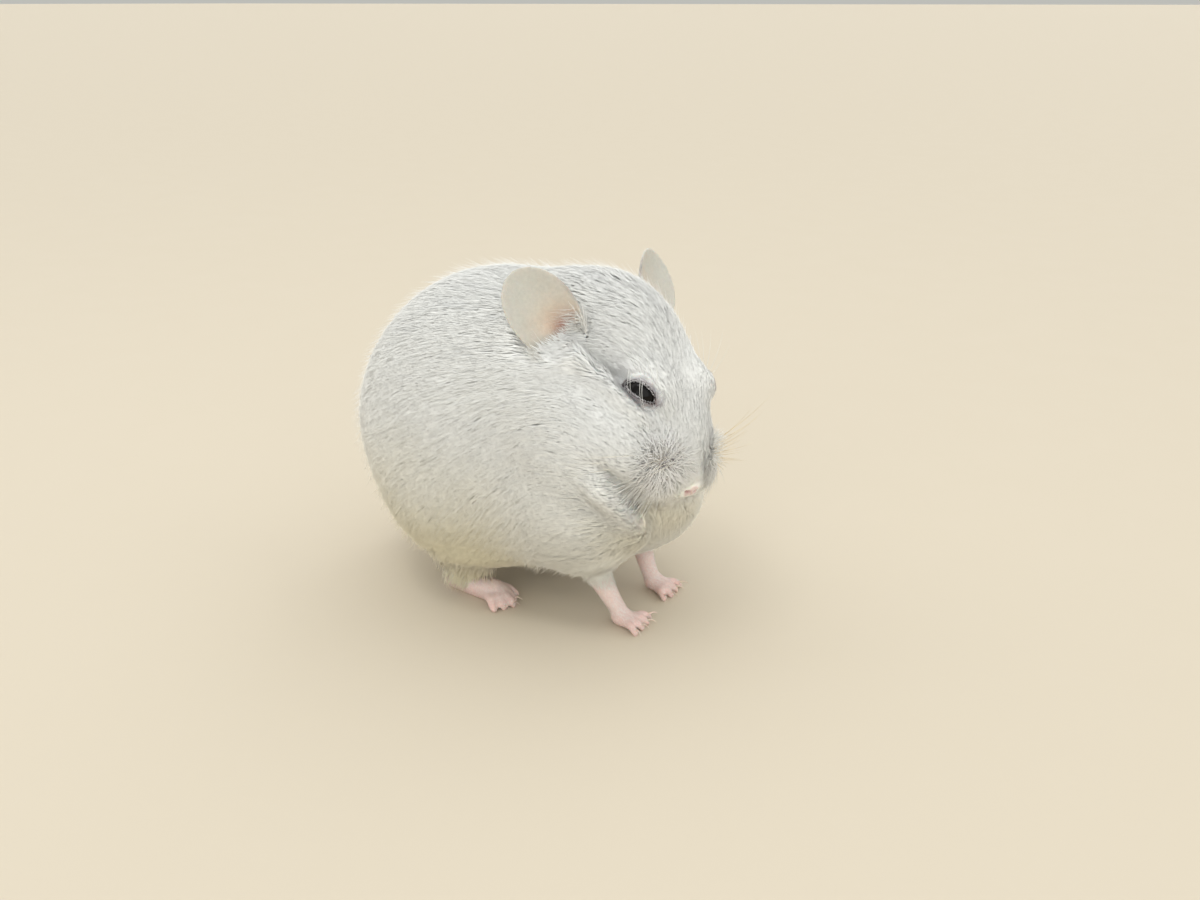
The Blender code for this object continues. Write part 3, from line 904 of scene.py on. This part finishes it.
def lieOf(points, normals):
    # the way the coat lies: back from the nose, down the flanks, round the eyes and the pads
    height = np.clip(1 - points[:, 2] / 62, 0, 1) ** 1.2
    body = unit(np.array((-1, 0, -0.2)) - height[:, None] * (0, 0, 1.6))
    body = blended(body, (-0.25, 0, -1.0), ramp(points[:, 0], 8, 20) * ramp(points[:, 2], 38, 26))
    lie = blended(unit(points - noseTip), unit(body), ramp(apart(points, noseTip), 17, 34))
    place = inHead(points)
    left = place[:, 1:2] > 0
    pad = np.where(left, 1, (1, -1, 1)) * headSpec["whiskerPad"]
    fromPad = unit(unit(place - pad) + (-0.45, 0, -0.35)) @ headAxes
    lie = blended(lie, fromPad, 0.9 * ramp(padDistance(points), 7.5, 4.0))
    fromEye = unit(points - np.where(left, eyes[1], eyes[-1]))
    lie = blended(lie, fromEye, 0.7 * ramp(eyeEdge(points), 3.0, 0.4))
    for side, (_, axes) in ears.items():
        lie = blended(lie, axes[1], 0.9 * earShare(points, side))
    paw = pawShare(points)
    lie = blended(lie, (1.0, 0, -0.5), paw)
    return alongSkin(blended(lie, (0.15, 0, -1.0), armShare(points) * (1 - paw)), normals)


def coatDensity(points):
    count = np.interp(muzzleReach(points), *coatSpec["perArea"].values())
    limbs = most(pawShare(points), armShare(points), tailShare(points))
    count = mix(mix(count, coatSpec["limbCount"], limbs), coatSpec["earCount"], earsShare(points))
    edge = eyeEdge(points)
    count = count * ramp(edge, 0.12, 0.45) * (1 + 1.3 * ramp(edge, 3.0, 1.2)) * (1 - noseShare(points))
    onPad = np.where(onRight(points), *coatSpec["padCount"])
    count = mix(count, onPad, ramp(padDistance(points), 5.4, 3.6))
    ahead, aside, up = inHalf(points)
    mouth = (np.abs(lipHeight(aside, up)) < 0.3) & (ahead > 21) & (aside < 4)
    return count * ~mouth * (points[:, 2] > 0.7)


def sown(points, triangles, density):
    # roots spread over the triangles, as many as the density asks
    corners = points[triangles]
    areas = 0.5 * np.linalg.norm(np.cross(*edgesOf(corners)), axis=1)
    weight = np.cumsum(areas * density[triangles].mean(axis=1))
    count = int(weight[-1])
    picks = (np.arange(count) + rng.random(count)) / count * weight[-1]
    chosen = np.minimum(np.searchsorted(weight, picks), len(triangles) - 1)
    first, second = rng.random(count), rng.random(count)
    over = first + second > 1
    first, second = np.where(over, 1 - first, first), np.where(over, 1 - second, second)
    shares = np.stack((1 - first - second, first, second), axis=1)
    return weighed(shares, corners[chosen]), chosen, shares


def onSurface(tree, points):
    found = [tree.find_nearest(point) for point in points.tolist()]
    return np.array([tuple(hit[0]) for hit in found]), np.array([hit[2] for hit in found])


def spikes(path, ups, widths):
    # closed three-sided spikes from a root, past a bend if there is one, to a tip: the points of
    # each tuft and the faces of one
    run = unit(path[:, -1] - path[:, 0])
    beside = unit(np.cross(run, ups))
    over = np.cross(beside, run)
    straight = path.shape[1] == 2
    rings = []
    for level, size in enumerate((0.95,) if straight else (0.62, 1.0)):
        for angle in (90, 210, 330):
            turn = radians(angle)
            offset = beside * cos(turn) + over * sin(turn) * coatSpec["flatness"]
            rings.append(path[:, level] + offset * (widths * size / 2)[:, None])
    last = len(rings) - 3
    faces = [(0, 1, 2)]
    for corner, after in ((0, 1), (1, 2), (2, 0)):
        if not straight:
            faces += [(corner, 3 + corner, after), (after, 3 + corner, 3 + after)]
        faces.append((last + corner, last + 3, last + after))
    points, faces = np.stack(rings + [path[:, -1]], axis=1), np.array(faces)
    first = points[0][faces]
    volume = dot(first[:, 0], np.cross(first[:, 1], first[:, 2])).sum()
    return points, faces if volume > 0 else faces[:, ::-1]


def bakePlaces(roots):
    # each root's place on an unwrap of a coarse copy of the skin
    ratio = coatSpec["unwrapped"] / len(skinTriangles)
    rough = worked(skinPoints, skinTriangles, "DECIMATE", ratio=ratio)
    shape = addObject("unwrap", meshFrom("unwrap", *rough))
    bpy.context.view_layer.objects.active = shape
    shape.select_set(True)
    bpy.ops.object.mode_set(mode="EDIT")
    bpy.ops.mesh.select_all(action="SELECT")
    bpy.ops.uv.smart_project(angle_limit=radians(66), island_margin=0.004)
    bpy.ops.object.mode_set(mode="OBJECT")
    spread = fetched(shape.data.uv_layers.active.data, "uv", 2)
    points, triangles = meshArrays(shape.data)
    spread = spread[fetched(shape.data.loop_triangles, "loops", 3, np.int32)]
    bpy.data.objects.remove(shape)
    places, faces = onSurface(BVHTree.FromPolygons(points.tolist(), triangles.tolist()), roots)
    corners = points[triangles[faces]]
    first, second = edgesOf(corners)
    third = places - corners[:, 0]
    ff, fs, ss = dot(first, first), dot(first, second), dot(second, second)
    tf, ts = dot(third, first), dot(third, second)
    under = np.maximum(ff * ss - fs * fs, 1e-12)
    v, w = (ss * tf - fs * ts) / under, (ff * ts - fs * tf) / under
    return weighed(np.clip(np.stack((1 - v - w, v, w), axis=1), 0, 1), spread[faces])


def halves(word, left):
    return np.where(left, f"{word}_left", f"{word}_right")


def regionOf(roots):
    # the name of the coat piece that each root belongs to
    x, y, z = roots.T
    ahead, across, _ = inHead(roots).T
    fromNose = apart(roots, noseTip)
    region = np.where(x < -12, halves("rump", y > 0), halves("flank", y > 0))
    region = np.where((z < 16) & (fromNose > 20), np.where(x > -6, "chest", "belly"), region)
    region = np.where((fromNose < 38) & (z > 16), halves("cheek", across > 0), region)
    onFace = (fromNose < 30) & (np.abs(across) < 12) & (ahead > 2)
    return np.where(onFace, halves("face", across > 0), region)


def growCoat(material):
    roots, chosen, shares = sown(skinPoints, skinTriangles, coatDensity(skinPoints))
    cornerNormals = skinNormals[skinTriangles]
    normals = unit(weighed(shares, cornerNormals[chosen]))
    count = len(roots)
    say(f"{count} tufts sown")
    lie, fromNose, padAway = lieOf(roots, normals), muzzleReach(roots), padDistance(roots)
    turn = coatSpec["lockTurn"] * (patchy(roots, 4.2, 21) + 0.7 * patchy(roots, 1.7, 22))
    stray = coatSpec["strayTurn"] * (1 + 4.0 * ramp(padAway, 6, 3))
    turn = np.radians(turn + stray * rng.standard_normal(count))[:, None]
    lie = lie * np.cos(turn) + np.cross(normals, lie) * np.sin(turn)
    # lengths and widths, shorter on the limbs and the ears
    onEar, paw, arm, tail = earsShare(roots), pawShare(roots), armShare(roots), tailShare(roots)
    onPad = ramp(padAway, 6.0, 3.6) * np.where(onRight(roots), 1, 0.35)
    longs = np.interp(fromNose, *coatSpec["lengths"].values())
    longs = mix(1.0, longs, ramp(eyeEdge(roots), -0.5, 5.0))
    longs = mix(longs, coatSpec["padLong"], onPad)
    for base, axes in ears.values():
        longs = longs * (1 - 0.5 * ramp(apart(roots, base + axes[1] * 1.5), 7, 3.5))
    longs = mix(mix(longs, coatSpec["armLong"], arm), coatSpec["pawLong"], most(paw, onEar))
    longs = mix(longs, coatSpec["tailLong"], tail)
    widths = mix(np.interp(fromNose, *coatSpec["widths"].values()), coatSpec["padWide"], onPad)
    widths = mix(widths, coatSpec["limbWide"], most(paw, onEar, arm, tail))
    guard = (rng.random(count) < coatSpec["guardShare"]) & (longs > 2.2)
    hollow = foldPush(roots)[1]
    longs = longs * rng.uniform(0.72, 1.15, count) * np.where(guard, 1.3, 1) * (1 - 0.45 * hollow)
    widths = widths * rng.uniform(0.75, 1.2, count) * np.where(guard, 0.5, 1)
    # the bend and the tip of each tuft, along the skin and then lifted off it
    under = depthOver(skinPoints)[skinTriangles].mean(axis=1)
    mids, midFaces = onSurface(skinTree, roots + lie * (longs * 0.45)[:, None])
    midNormals = unit(cornerNormals[midFaces].mean(axis=1))
    onward = alongSkin(lie, midNormals) * (longs * 0.55)[:, None]
    tips, tipFaces = onSurface(skinTree, mids + onward)
    tipNormals = unit(cornerNormals[tipFaces].mean(axis=1))
    stand = np.where(guard, rng.uniform(1.1, 1.9, count), 1)
    lift = under[tipFaces] * rng.uniform(0.84, 1.04, count) * stand * (1 - 0.62 * foldPush(tips)[1])
    lift = mix(np.minimum(lift, longs * 0.6) + 0.1, longs * 0.42, onPad)
    lift = mix(mix(lift, longs * 0.25, paw), 0.1, onEar)
    midLift = mix(0.78 * np.minimum(lift, under[midFaces] * 0.95 + 0.1), 0.55 * lift, onPad)
    mids = mids + midNormals * midLift[:, None]
    tips = tips + tipNormals * lift[:, None]
    # the fringe under the body hangs free
    hanging = mids + tipNormals * (0.15 * longs)[:, None] + longs[:, None] * (-0.08, 0, -0.5)
    fringe = ramp(roots[:, 2], 17, 9) * (1 - most(arm, paw)) * (fromNose > 20)
    fringe = fringe * rng.uniform(0.4, 1, count) * ramp(np.abs(tipNormals[:, 2]), 0.9, 0.6)
    tips = blended(tips, hanging, fringe)
    tips = tips + np.cross(tipNormals, lie) * (0.05 * longs * patchy(roots, 0.8, 31))[:, None]
    tips[:, 2] = np.maximum(tips[:, 2], 0.25)
    mids[:, 2] = np.maximum(mids[:, 2], 0.3)
    roots = roots - normals * (0.12 + 0.3 * widths)[:, None]
    say("tufts laid along the skin")
    # a random darker fleck on each tuft, and painted shade on the tufts in the folds' hollows
    fleck = 0.012 * np.abs(rng.standard_normal(count)) + 0.012 * np.abs(patchy(roots, 1.3, 41))
    shade = furColour(roots) * (1 - fleck - 0.07 * hollow)[:, None]
    shade = blended(shade, tints["top"] * 0.95, 0.8 * paw)
    shade = blended(shade, hideColour(roots) * 1.06, 0.92 * onEar)
    path = np.stack((roots, mids, tips), axis=1)
    ways = np.stack((normals, midNormals, tipNormals), axis=1)
    lot = (path, ways, widths, shade, bakePlaces(roots), longs < coatSpec["shortUnder"])
    say("bake places found")
    region = regionOf(roots)
    for name in sorted(set(region)):
        coatPiece(f"coat_{name}", material, *(part[region == name] for part in lot))


def coatPiece(name, material, path, ways, widths, shade, places, short):
    shapes, colours, spots, leans = [], [], [], []
    for kind, mine, stops in (("straight", short, (0, 2)), ("bent", ~short, (0, 1, 2))):
        if not mine.any():
            continue
        ups = unit(ways[mine, 0] + ways[mine, 2])
        tufts, oneTuft = spikes(path[mine][:, stops], ups, widths[mine])
        number, each = tufts.shape[:2]
        shapes.append((tufts.reshape(-1, 3), repeated(oneTuft, number, each)))
        level = np.repeat(stops, (3,) * (len(stops) - 1) + (1,))
        # painted shade at the root, where other tufts lie over it
        tones = np.where(level == 0, 0.97, 1.0)
        colours.append((shade[mine][:, None] * tones[None, :, None]).reshape(-1, 3))
        offsets = (np.array(coatSpec[kind]) - 0.5) * coatSpec["patch"]
        spots.append((places[mine][:, None] + offsets[None]).reshape(-1, 2))
        own = unit(tufts - path[mine][:, level])
        leans.append(unit(ways[mine][:, level] + own * 0.04).reshape(-1, 3))
    points, faces = joined(shapes)
    mesh = meshFrom(name, points * mm, faces)
    layer = mesh.uv_layers.new(name="OFBake")
    layer.data.foreach_set("uv", np.clip(np.concatenate(spots), 0.001, 0.999)[faces.ravel()].ravel())
    addColours(mesh, "furColour", np.concatenate(colours))
    mesh.normals_split_custom_set_from_vertices(np.concatenate(leans).tolist())
    addPiece(name, mesh, material)
    print(f"hamster: {name} has {len(faces)} triangles", flush=True)


def addColours(mesh, name, colours):
    layer = mesh.color_attributes.new(name=name, type="FLOAT_COLOR", domain="POINT")
    full = np.ones((len(colours), 4), np.float32)
    full[:, :3] = np.clip(colours, 0, 1)
    layer.data.foreach_set("color", full.ravel())


# materials

def setInputs(tree, node, inputs):
    # each input takes a number, a colour or another node's output
    for socket, value in inputs.items():
        if isinstance(value, bpy.types.NodeSocket):
            tree.links.new(value, node.inputs[socket])
        else:
            node.inputs[socket].default_value = value


def addNode(tree, kind, inputs, **settings):
    node = tree.nodes.new(f"ShaderNode{kind}")
    for setting, value in settings.items():
        setattr(node, setting, value)
    setInputs(tree, node, inputs)
    return node.outputs


def nodeMaterial(name, look):
    material = bpy.data.materials.new(name)
    material.use_nodes = True
    tree = material.node_tree
    shader = tree.nodes["Principled BSDF"]
    setInputs(tree, shader, look)
    return material, tree, shader


def noiseIn(tree, scale, detail=3.0):
    # noise in the animal's own coordinates, in metres
    place = addNode(tree, "TexCoord", {})["Object"]
    return addNode(tree, "TexNoise", {"Scale": scale, "Detail": detail, "Vector": place})["Fac"]


def spreadOut(tree, source, low, high):
    inputs = {"To Min": low, "To Max": high, "From Min": 0.3, "From Max": 0.7, "Value": source}
    return addNode(tree, "MapRange", inputs)["Result"]


def paintedMaterial(name, layer, scale, detail, tones, roughness, look):
    # shows a painted layer, a little lighter and darker and rougher by noise
    material, tree, shader = nodeMaterial(name, look)
    grain = noiseIn(tree, scale, detail)
    colour = addNode(tree, "VertexColor", {}, layer_name=layer)["Color"]
    inputs = {"Factor": 1.0, "A": colour, "B": spreadOut(tree, grain, *tones)}
    colour = addNode(tree, "Mix", inputs, data_type="RGBA", blend_type="MULTIPLY")["Result"]
    setInputs(tree, shader, {"Base Color": colour, "Roughness": spreadOut(tree, grain, *roughness)})
    return material, tree, shader


def twoToned(name, first, second, scale, look, spread=False):
    # wanders between two colours
    material, tree, shader = nodeMaterial(name, look)
    share = noiseIn(tree, scale)
    if spread:
        share = spreadOut(tree, share, 0.0, 1.0)
    inputs = {"A": (*first, 1), "B": (*second, 1), "Factor": share}
    setInputs(tree, shader, {"Base Color": addNode(tree, "Mix", inputs, data_type="RGBA")["Result"]})
    return material


furLook = {
    "Specular IOR Level": 0.2, "Sheen Weight": 0.25, "Sheen Roughness": 0.5,
    "Subsurface Weight": 0.12, "Subsurface Scale": 0.0006, "Subsurface Radius": (1.0, 0.97, 0.9),
}
hideLook = {
    "Specular IOR Level": 0.35, "Subsurface Weight": 0.25, "Subsurface Scale": 0.0012,
    "Subsurface Radius": (1.0, 0.45, 0.3),
}


def makeSkin():
    mesh = meshFrom("skin", skinPoints * mm, skinTriangles)
    addColours(mesh, "hideColour", hideColour(skinPoints))
    hide, tree, shader = paintedMaterial(
        "hide", "hideColour", 1600.0, 4.0, (0.93, 1.04), (0.5, 0.72), hideLook
    )
    pores = {"Strength": 0.5, "Distance": 0.00012, "Height": noiseIn(tree, 2600.0, 5.0)}
    setInputs(tree, shader, {"Normal": addNode(tree, "Bump", pores)["Normal"]})
    skin = addPiece("skin", mesh, hide)
    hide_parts(*flesh, "ear_left", "ear_right")


makeSkin()
say("skin made")
growCoat(paintedMaterial(
    "soft_white_fur", "furColour", 900.0, 3.0, (0.97, 1.0), (0.62, 0.82), furLook
)[0])
say("coat grown")


# the eyes: dark glossy balls with a clear bulge in front

eyeSpec = {
    "bulge": 0.12,
    "pupil": paint(3, 3, 3),
    "iris": paint(14, 10, 9),
    "look": {"Roughness": 0.05, "Specular IOR Level": 0.2},
}


def makeEyes():
    material = twoToned("dark_eye", eyeSpec["pupil"], eyeSpec["iris"], 700.0, eyeSpec["look"])
    points, triangles = ballShape((0, 0, 0), 1, 40, 64)
    for side, word in sides:
        front = unit(points) @ lidFrame(side)[2]
        reach = lidSpec["ball"] + eyeSpec["bulge"] * ramp(front, 0.55, 0.95)
        mesh = meshFrom(f"eyeball_{word}", (eyes[side] + points * reach[:, None]) * mm, triangles)
        ball = addPiece(f"eyeball_{word}", mesh, material)
        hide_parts(f"eye_{word}")


makeEyes()


# whiskers, brow bristles and the hairs of the ears and eyes: tapered curved tubes

def hairTubes(paths, radii, sides=4):
    # paths holds each hair's points, from root to tip
    paths = np.array(paths)
    count, steps = paths.shape[:2]
    along = unit(np.gradient(paths, axis=1))
    helper = unit(np.cross(along, np.array((0.13, 0.29, 0.95))))
    other = np.cross(along, helper)
    size = np.array(radii)[:, None, None] * np.linspace(1, 0.12, steps)[None, :, None]
    rings = []
    for corner in range(sides):
        turn = 2 * pi * corner / sides
        rings.append(paths + (helper * cos(turn) + other * sin(turn)) * size)
    faces = []
    for step, corner in product(range(steps - 1), range(sides)):
        here, after = step * sides + corner, step * sides + (corner + 1) % sides
        faces += [(here, after, after + sides), (here, after + sides, here + sides)]
    last = (steps - 1) * sides
    for corner in range(1, sides - 1):
        faces += [(0, corner + 1, corner), (last, last + corner, last + corner + 1)]
    return np.stack(rings, axis=2).reshape(-1, 3), repeated(faces, count, steps * sides)


def hairMaterial(name, root, tip):
    look = {"Roughness": 0.4, "Specular IOR Level": 0.5, "Sheen Weight": 0.2}
    return twoToned(name, root, tip, 400.0, look, spread=True)


def addHairs(name, hairs, material):
    points, faces = hairTubes(*zip(*hairs))
    addPiece(name, meshFrom(name, points * mm, faces), material)


def onSkin(place):
    return np.array(skinTree.find_nearest(place)[0])


def hairPath(root, direction, length, droop, sunk=0.3, steps=9):
    # a hair that leaves along direction, from a little under the skin, and bows by droop
    share = np.linspace(0, 1, steps)[:, None]
    way = unit(direction)
    return root - way * sunk + way * length * share + np.asarray(droop) * length * share**2


whiskerSpec = {
    "longest": 17.0,
    "shortest": 6.0,
    "radius": 0.062,
    "scatter": 0.07,
    "droop": (-0.18, 0.0, -0.16),
    "lowered": {-1: 0.55, 1: 0},   # the right ones point lower, with the turn of the head
    "root": {-1: paint(206, 198, 180), 1: paint(176, 150, 102)},
    "tip": {-1: paint(244, 240, 230), 1: paint(228, 208, 166)},
}


def makeWhiskers(side, word):
    hairs = []
    for rootSide, row, column, root in whiskerRoots:
        if rootSide != side:
            continue
        # rows from low to high, columns from back to front; the back ones are longest
        reach = 1 - column / 5
        length = mix(whiskerSpec["shortest"], whiskerSpec["longest"], reach)
        length *= rng.uniform(0.75, 1.05) * (0.75 if row == 0 else 1)
        lift = (row - 2.0) * 0.28 - whiskerSpec["lowered"][side]
        direction = headway((0.25 - 0.35 * reach, 1.0, lift + 0.05), side)
        direction = direction + rng.normal(0, whiskerSpec["scatter"], 3)
        path = hairPath(onSkin(root), direction, length, headway(whiskerSpec["droop"], side))
        hairs.append((path, whiskerSpec["radius"] * (0.6 + 0.4 * reach)))
    material = hairMaterial(f"whisker_{word}", whiskerSpec["root"][side], whiskerSpec["tip"][side])
    addHairs(f"whiskers_{word}", hairs, material)


fineHairSpec = {
    "root": paint(214, 212, 208),
    "tip": paint(244, 244, 240),
    "brow": {"count": 5, "length": (5.0, 8.5), "radius": 0.04},
    "acrossEye": {"places": (-1.6, -1.1, 0.9, 1.35), "radius": 0.055},
    "pad": {"count": 620, "length": (2.4, 4.2), "lowLength": {-1: 6.0, 1: 3.0}, "radius": (0.05, 0.08)},
    "earFront": {"count": 34, "length": (2.2, 4.2), "radius": 0.045},
    "earRoot": {"tries": 420, "length": (2.4, 4.4), "radius": (0.05, 0.075)},
}


def eyeHairs(side):
    slit, upward, facing = lidFrame(side)
    eye, hairs = eyes[side], []
    # bristles over the brow
    spec = fineHairSpec["brow"]
    for index in range(spec["count"]):
        place = eye + (facing * 2.2 + upward * 3.3 + slit * (index - 2) * 0.9)
        direction = facing * 0.75 + upward * 0.6 + slit * (0.25 * (index - 2) - 0.5)
        path = hairPath(onSkin(place), direction, rng.uniform(*spec["length"]), -slit * 0.2)
        hairs.append((path, spec["radius"]))
    # hairs that fall across the eye from its upper back corner
    spec = fineHairSpec["acrossEye"]
    for along in spec["places"]:
        begin = eye + slit * (along - 1.9) + upward * 2.3 + facing * 2.45
        ending = eye + slit * (along + 1.7) - upward * 2.3 + facing * 2.3
        share = np.linspace(0, 1, 9)[:, None]
        path = begin + (ending - begin) * share + facing * 1.35 * (1 - (2 * share - 1) ** 2)
        hairs.append((path, spec["radius"]))
    return hairs


def padHairs(side):
    # white hairs that stand out round the pad, the lowest ones long
    hairs, spec = [], fineHairSpec["pad"]
    for _ in range(spec["count"]):
        turn, reach = rng.uniform(0, 2 * pi), 4.8 * sqrt(rng.uniform(0.01, 1))
        ahead, up = cos(turn), sin(turn)
        spread = np.array((-0.35 * ahead, ahead * 0.85, up))
        root = onSkin(fromHead(headSpec["whiskerPad"] + spread * reach, side))
        low = spec["lowLength"][side] * max(0.0, 0.5 * ahead - up) ** 1.5
        length = rng.uniform(*spec["length"]) + low * rng.uniform(0.1, 1)
        direction = headway(spread * (0.4 + 0.12 * reach) + (0.2, 0.42, -0.3), side)
        direction = direction + rng.normal(0, 0.25, 3)
        path = hairPath(root, direction, length, headway((-0.12, 0, -0.12), side), steps=6)
        hairs.append((path, rng.uniform(*spec["radius"])))
    return hairs


def earHairs(side):
    base, axes = ears[side]
    # the tuft that crosses the ear's hollow from its front edge
    hairs, spec = [], fineHairSpec["earFront"]
    for index in range(spec["count"]):
        across = -4.6 + rng.uniform(-0.5, 0.5) + 0.04 * index
        along = rng.uniform(0.4, 4.6)
        root = base + np.array((across, along, earDepth(across, along) + 0.35)) @ axes
        direction = np.array((1.0, 0.55 + rng.normal(0, 0.18), 0.15)) @ axes
        path = hairPath(root, direction, rng.uniform(*spec["length"]), axes[2] * 0.1, sunk=0)
        hairs.append((path, spec["radius"]))
    # fluff that stands round the ear's root
    spec = fineHairSpec["earRoot"]
    for _ in range(spec["tries"]):
        turn = rng.uniform(0, 2 * pi)
        across, up = cos(turn), sin(turn)
        if up > 0.1 and abs(across) < 0.8:
            continue
        depth = earDepth(5.2 * across, 1.0) + 2.2 * up
        found = skinTree.find_nearest(base + np.array((5.2 * across, rng.uniform(-1.5, 1.0), depth)) @ axes)
        if found[3] > 1.6:
            continue
        direction = (np.array((0.35 * across, 0.9, 0.3 * up)) + rng.normal(0, 0.22, 3)) @ axes
        bend = headway((-0.3, 0, 0.05), side)
        path = hairPath(np.array(found[0]), direction, rng.uniform(*spec["length"]), bend, sunk=0.4)
        hairs.append((path, rng.uniform(*spec["radius"])))
    return hairs


def makeClaws():
    look = {
        "Roughness": 0.35, "Specular IOR Level": 0.5, "Subsurface Weight": 0.2,
        "Subsurface Scale": 0.0004,
    }
    material = twoToned("claw", clawSpec["root"], clawSpec["tip"], 1500.0, look)
    share = np.linspace(0, 1, 7)[:, None]
    for paw in paws:
        hairs = []
        for name, tip, ahead in claws:
            if name == paw:
                root = tip - ahead * clawSpec["length"] + np.array((0, 0, 0.42))
                path = root + ahead * clawSpec["length"] * share
                path[:, 2] += (0.55 * np.sin(share * pi * 0.75) - 0.5 * share**2)[:, 0]
                path[:, 2] = np.maximum(path[:, 2], 0.12)
                hairs.append((path, clawSpec["radius"]))
        addHairs(f"claws_{paw}", hairs, material)


for side, word in sides:
    makeWhiskers(side, word)
whiteHair = hairMaterial("long_white_hair", fineHairSpec["root"], fineHairSpec["tip"])
for side, word in sides:
    addHairs(f"eye_hairs_{word}", eyeHairs(side), whiteHair)
    addHairs(f"pad_hairs_{word}", padHairs(side), whiteHair)
    addHairs(f"ear_hairs_{word}", earHairs(side), whiteHair)
makeClaws()
say("eyes, whiskers and claws made")


# the floor, the light and the camera

stageSpec = {
    "floor": paint(206, 196, 178),
    "floorReach": 40,              # metres from the middle to each edge
    "world": paint(238, 238, 232),
    "worldStrength": 0.6,
    "lamps": {
        # kind, place or a sun's direction, strength, colour, and size or a sun's spread in radians
        "sky": ("SUN", (0.15, -0.25, 1.0), 0.88, (1.0, 0.99, 0.96), {"angle": radians(160)}),
        "window": ("AREA", (-0.05, -0.18, 0.5), 0.35, (1.0, 1.0, 1.0),
                   {"shape": "RECTANGLE", "size": 0.22, "size_y": 0.1}),
        "front": ("SUN", (0.42, -0.88, 0.16), 1.3, (1.0, 1.0, 0.98), {"angle": radians(90)}),
        "fill": ("SUN", (0.6, 0.7, 0.35), 0.8, (1.0, 1.0, 1.0), {"angle": radians(100)}),
        "back": ("SUN", (-0.62, 0.5, 0.4), 1.5, (1.0, 1.0, 1.0), {"angle": radians(120)}),
    },
    "lampAim": (0, 0, 0.03),
    "cameraAt": (107.1, -176.9, 106.9),
    "cameraAim": (9.9, 5.6, 26.3),
    "lens": 34.57,
}


def makeFloor():
    reach = stageSpec["floorReach"]
    corners = [(-reach, -reach, 0), (reach, -reach, 0), (reach, reach, 0), (-reach, reach, 0)]
    mesh = meshFrom("floor", corners, [(0, 1, 2, 3)])
    look = {"Specular IOR Level": 0.2, "Base Color": (*stageSpec["floor"], 1)}
    material, tree, shader = nodeMaterial("floor", look)
    setInputs(tree, shader, {"Roughness": spreadOut(tree, noiseIn(tree, 60.0), 0.75, 0.85)})
    mesh.materials.append(material)
    floor = addObject("floor", mesh)


def aimed(name, data, place, aim):
    item = addObject(name, data)
    item.location = place
    item.rotation_euler = (aim - item.location).to_track_quat("-Z", "Y").to_euler()
    return item


def makeLight():
    world = bpy.data.worlds.new("studio")
    world.use_nodes = True
    backdrop = world.node_tree.nodes["Background"]
    look = {"Color": (*stageSpec["world"], 1), "Strength": stageSpec["worldStrength"]}
    setInputs(world.node_tree, backdrop, look)
    bpy.context.scene.world = world
    for name, (kind, place, energy, colour, settings) in stageSpec["lamps"].items():
        light = bpy.data.lights.new(name, kind)
        light.energy = energy
        light.color = colour
        for setting, value in settings.items():
            setattr(light, setting, value)
        aimed(name, light, place, Vector(stageSpec["lampAim"]))


def makeCamera():
    bpy.context.scene.view_settings.view_transform = "Standard"
    camera = bpy.data.cameras.new("camera")
    camera.lens = stageSpec["lens"]
    camera.sensor_width = 36
    camera.clip_start = 0.005
    place, aim = Vector(stageSpec["cameraAt"]) * mm, Vector(stageSpec["cameraAim"]) * mm
    bpy.context.scene.camera = aimed("camera", camera, place, aim)


makeFloor()
makeLight()
makeCamera()
say("stage set")
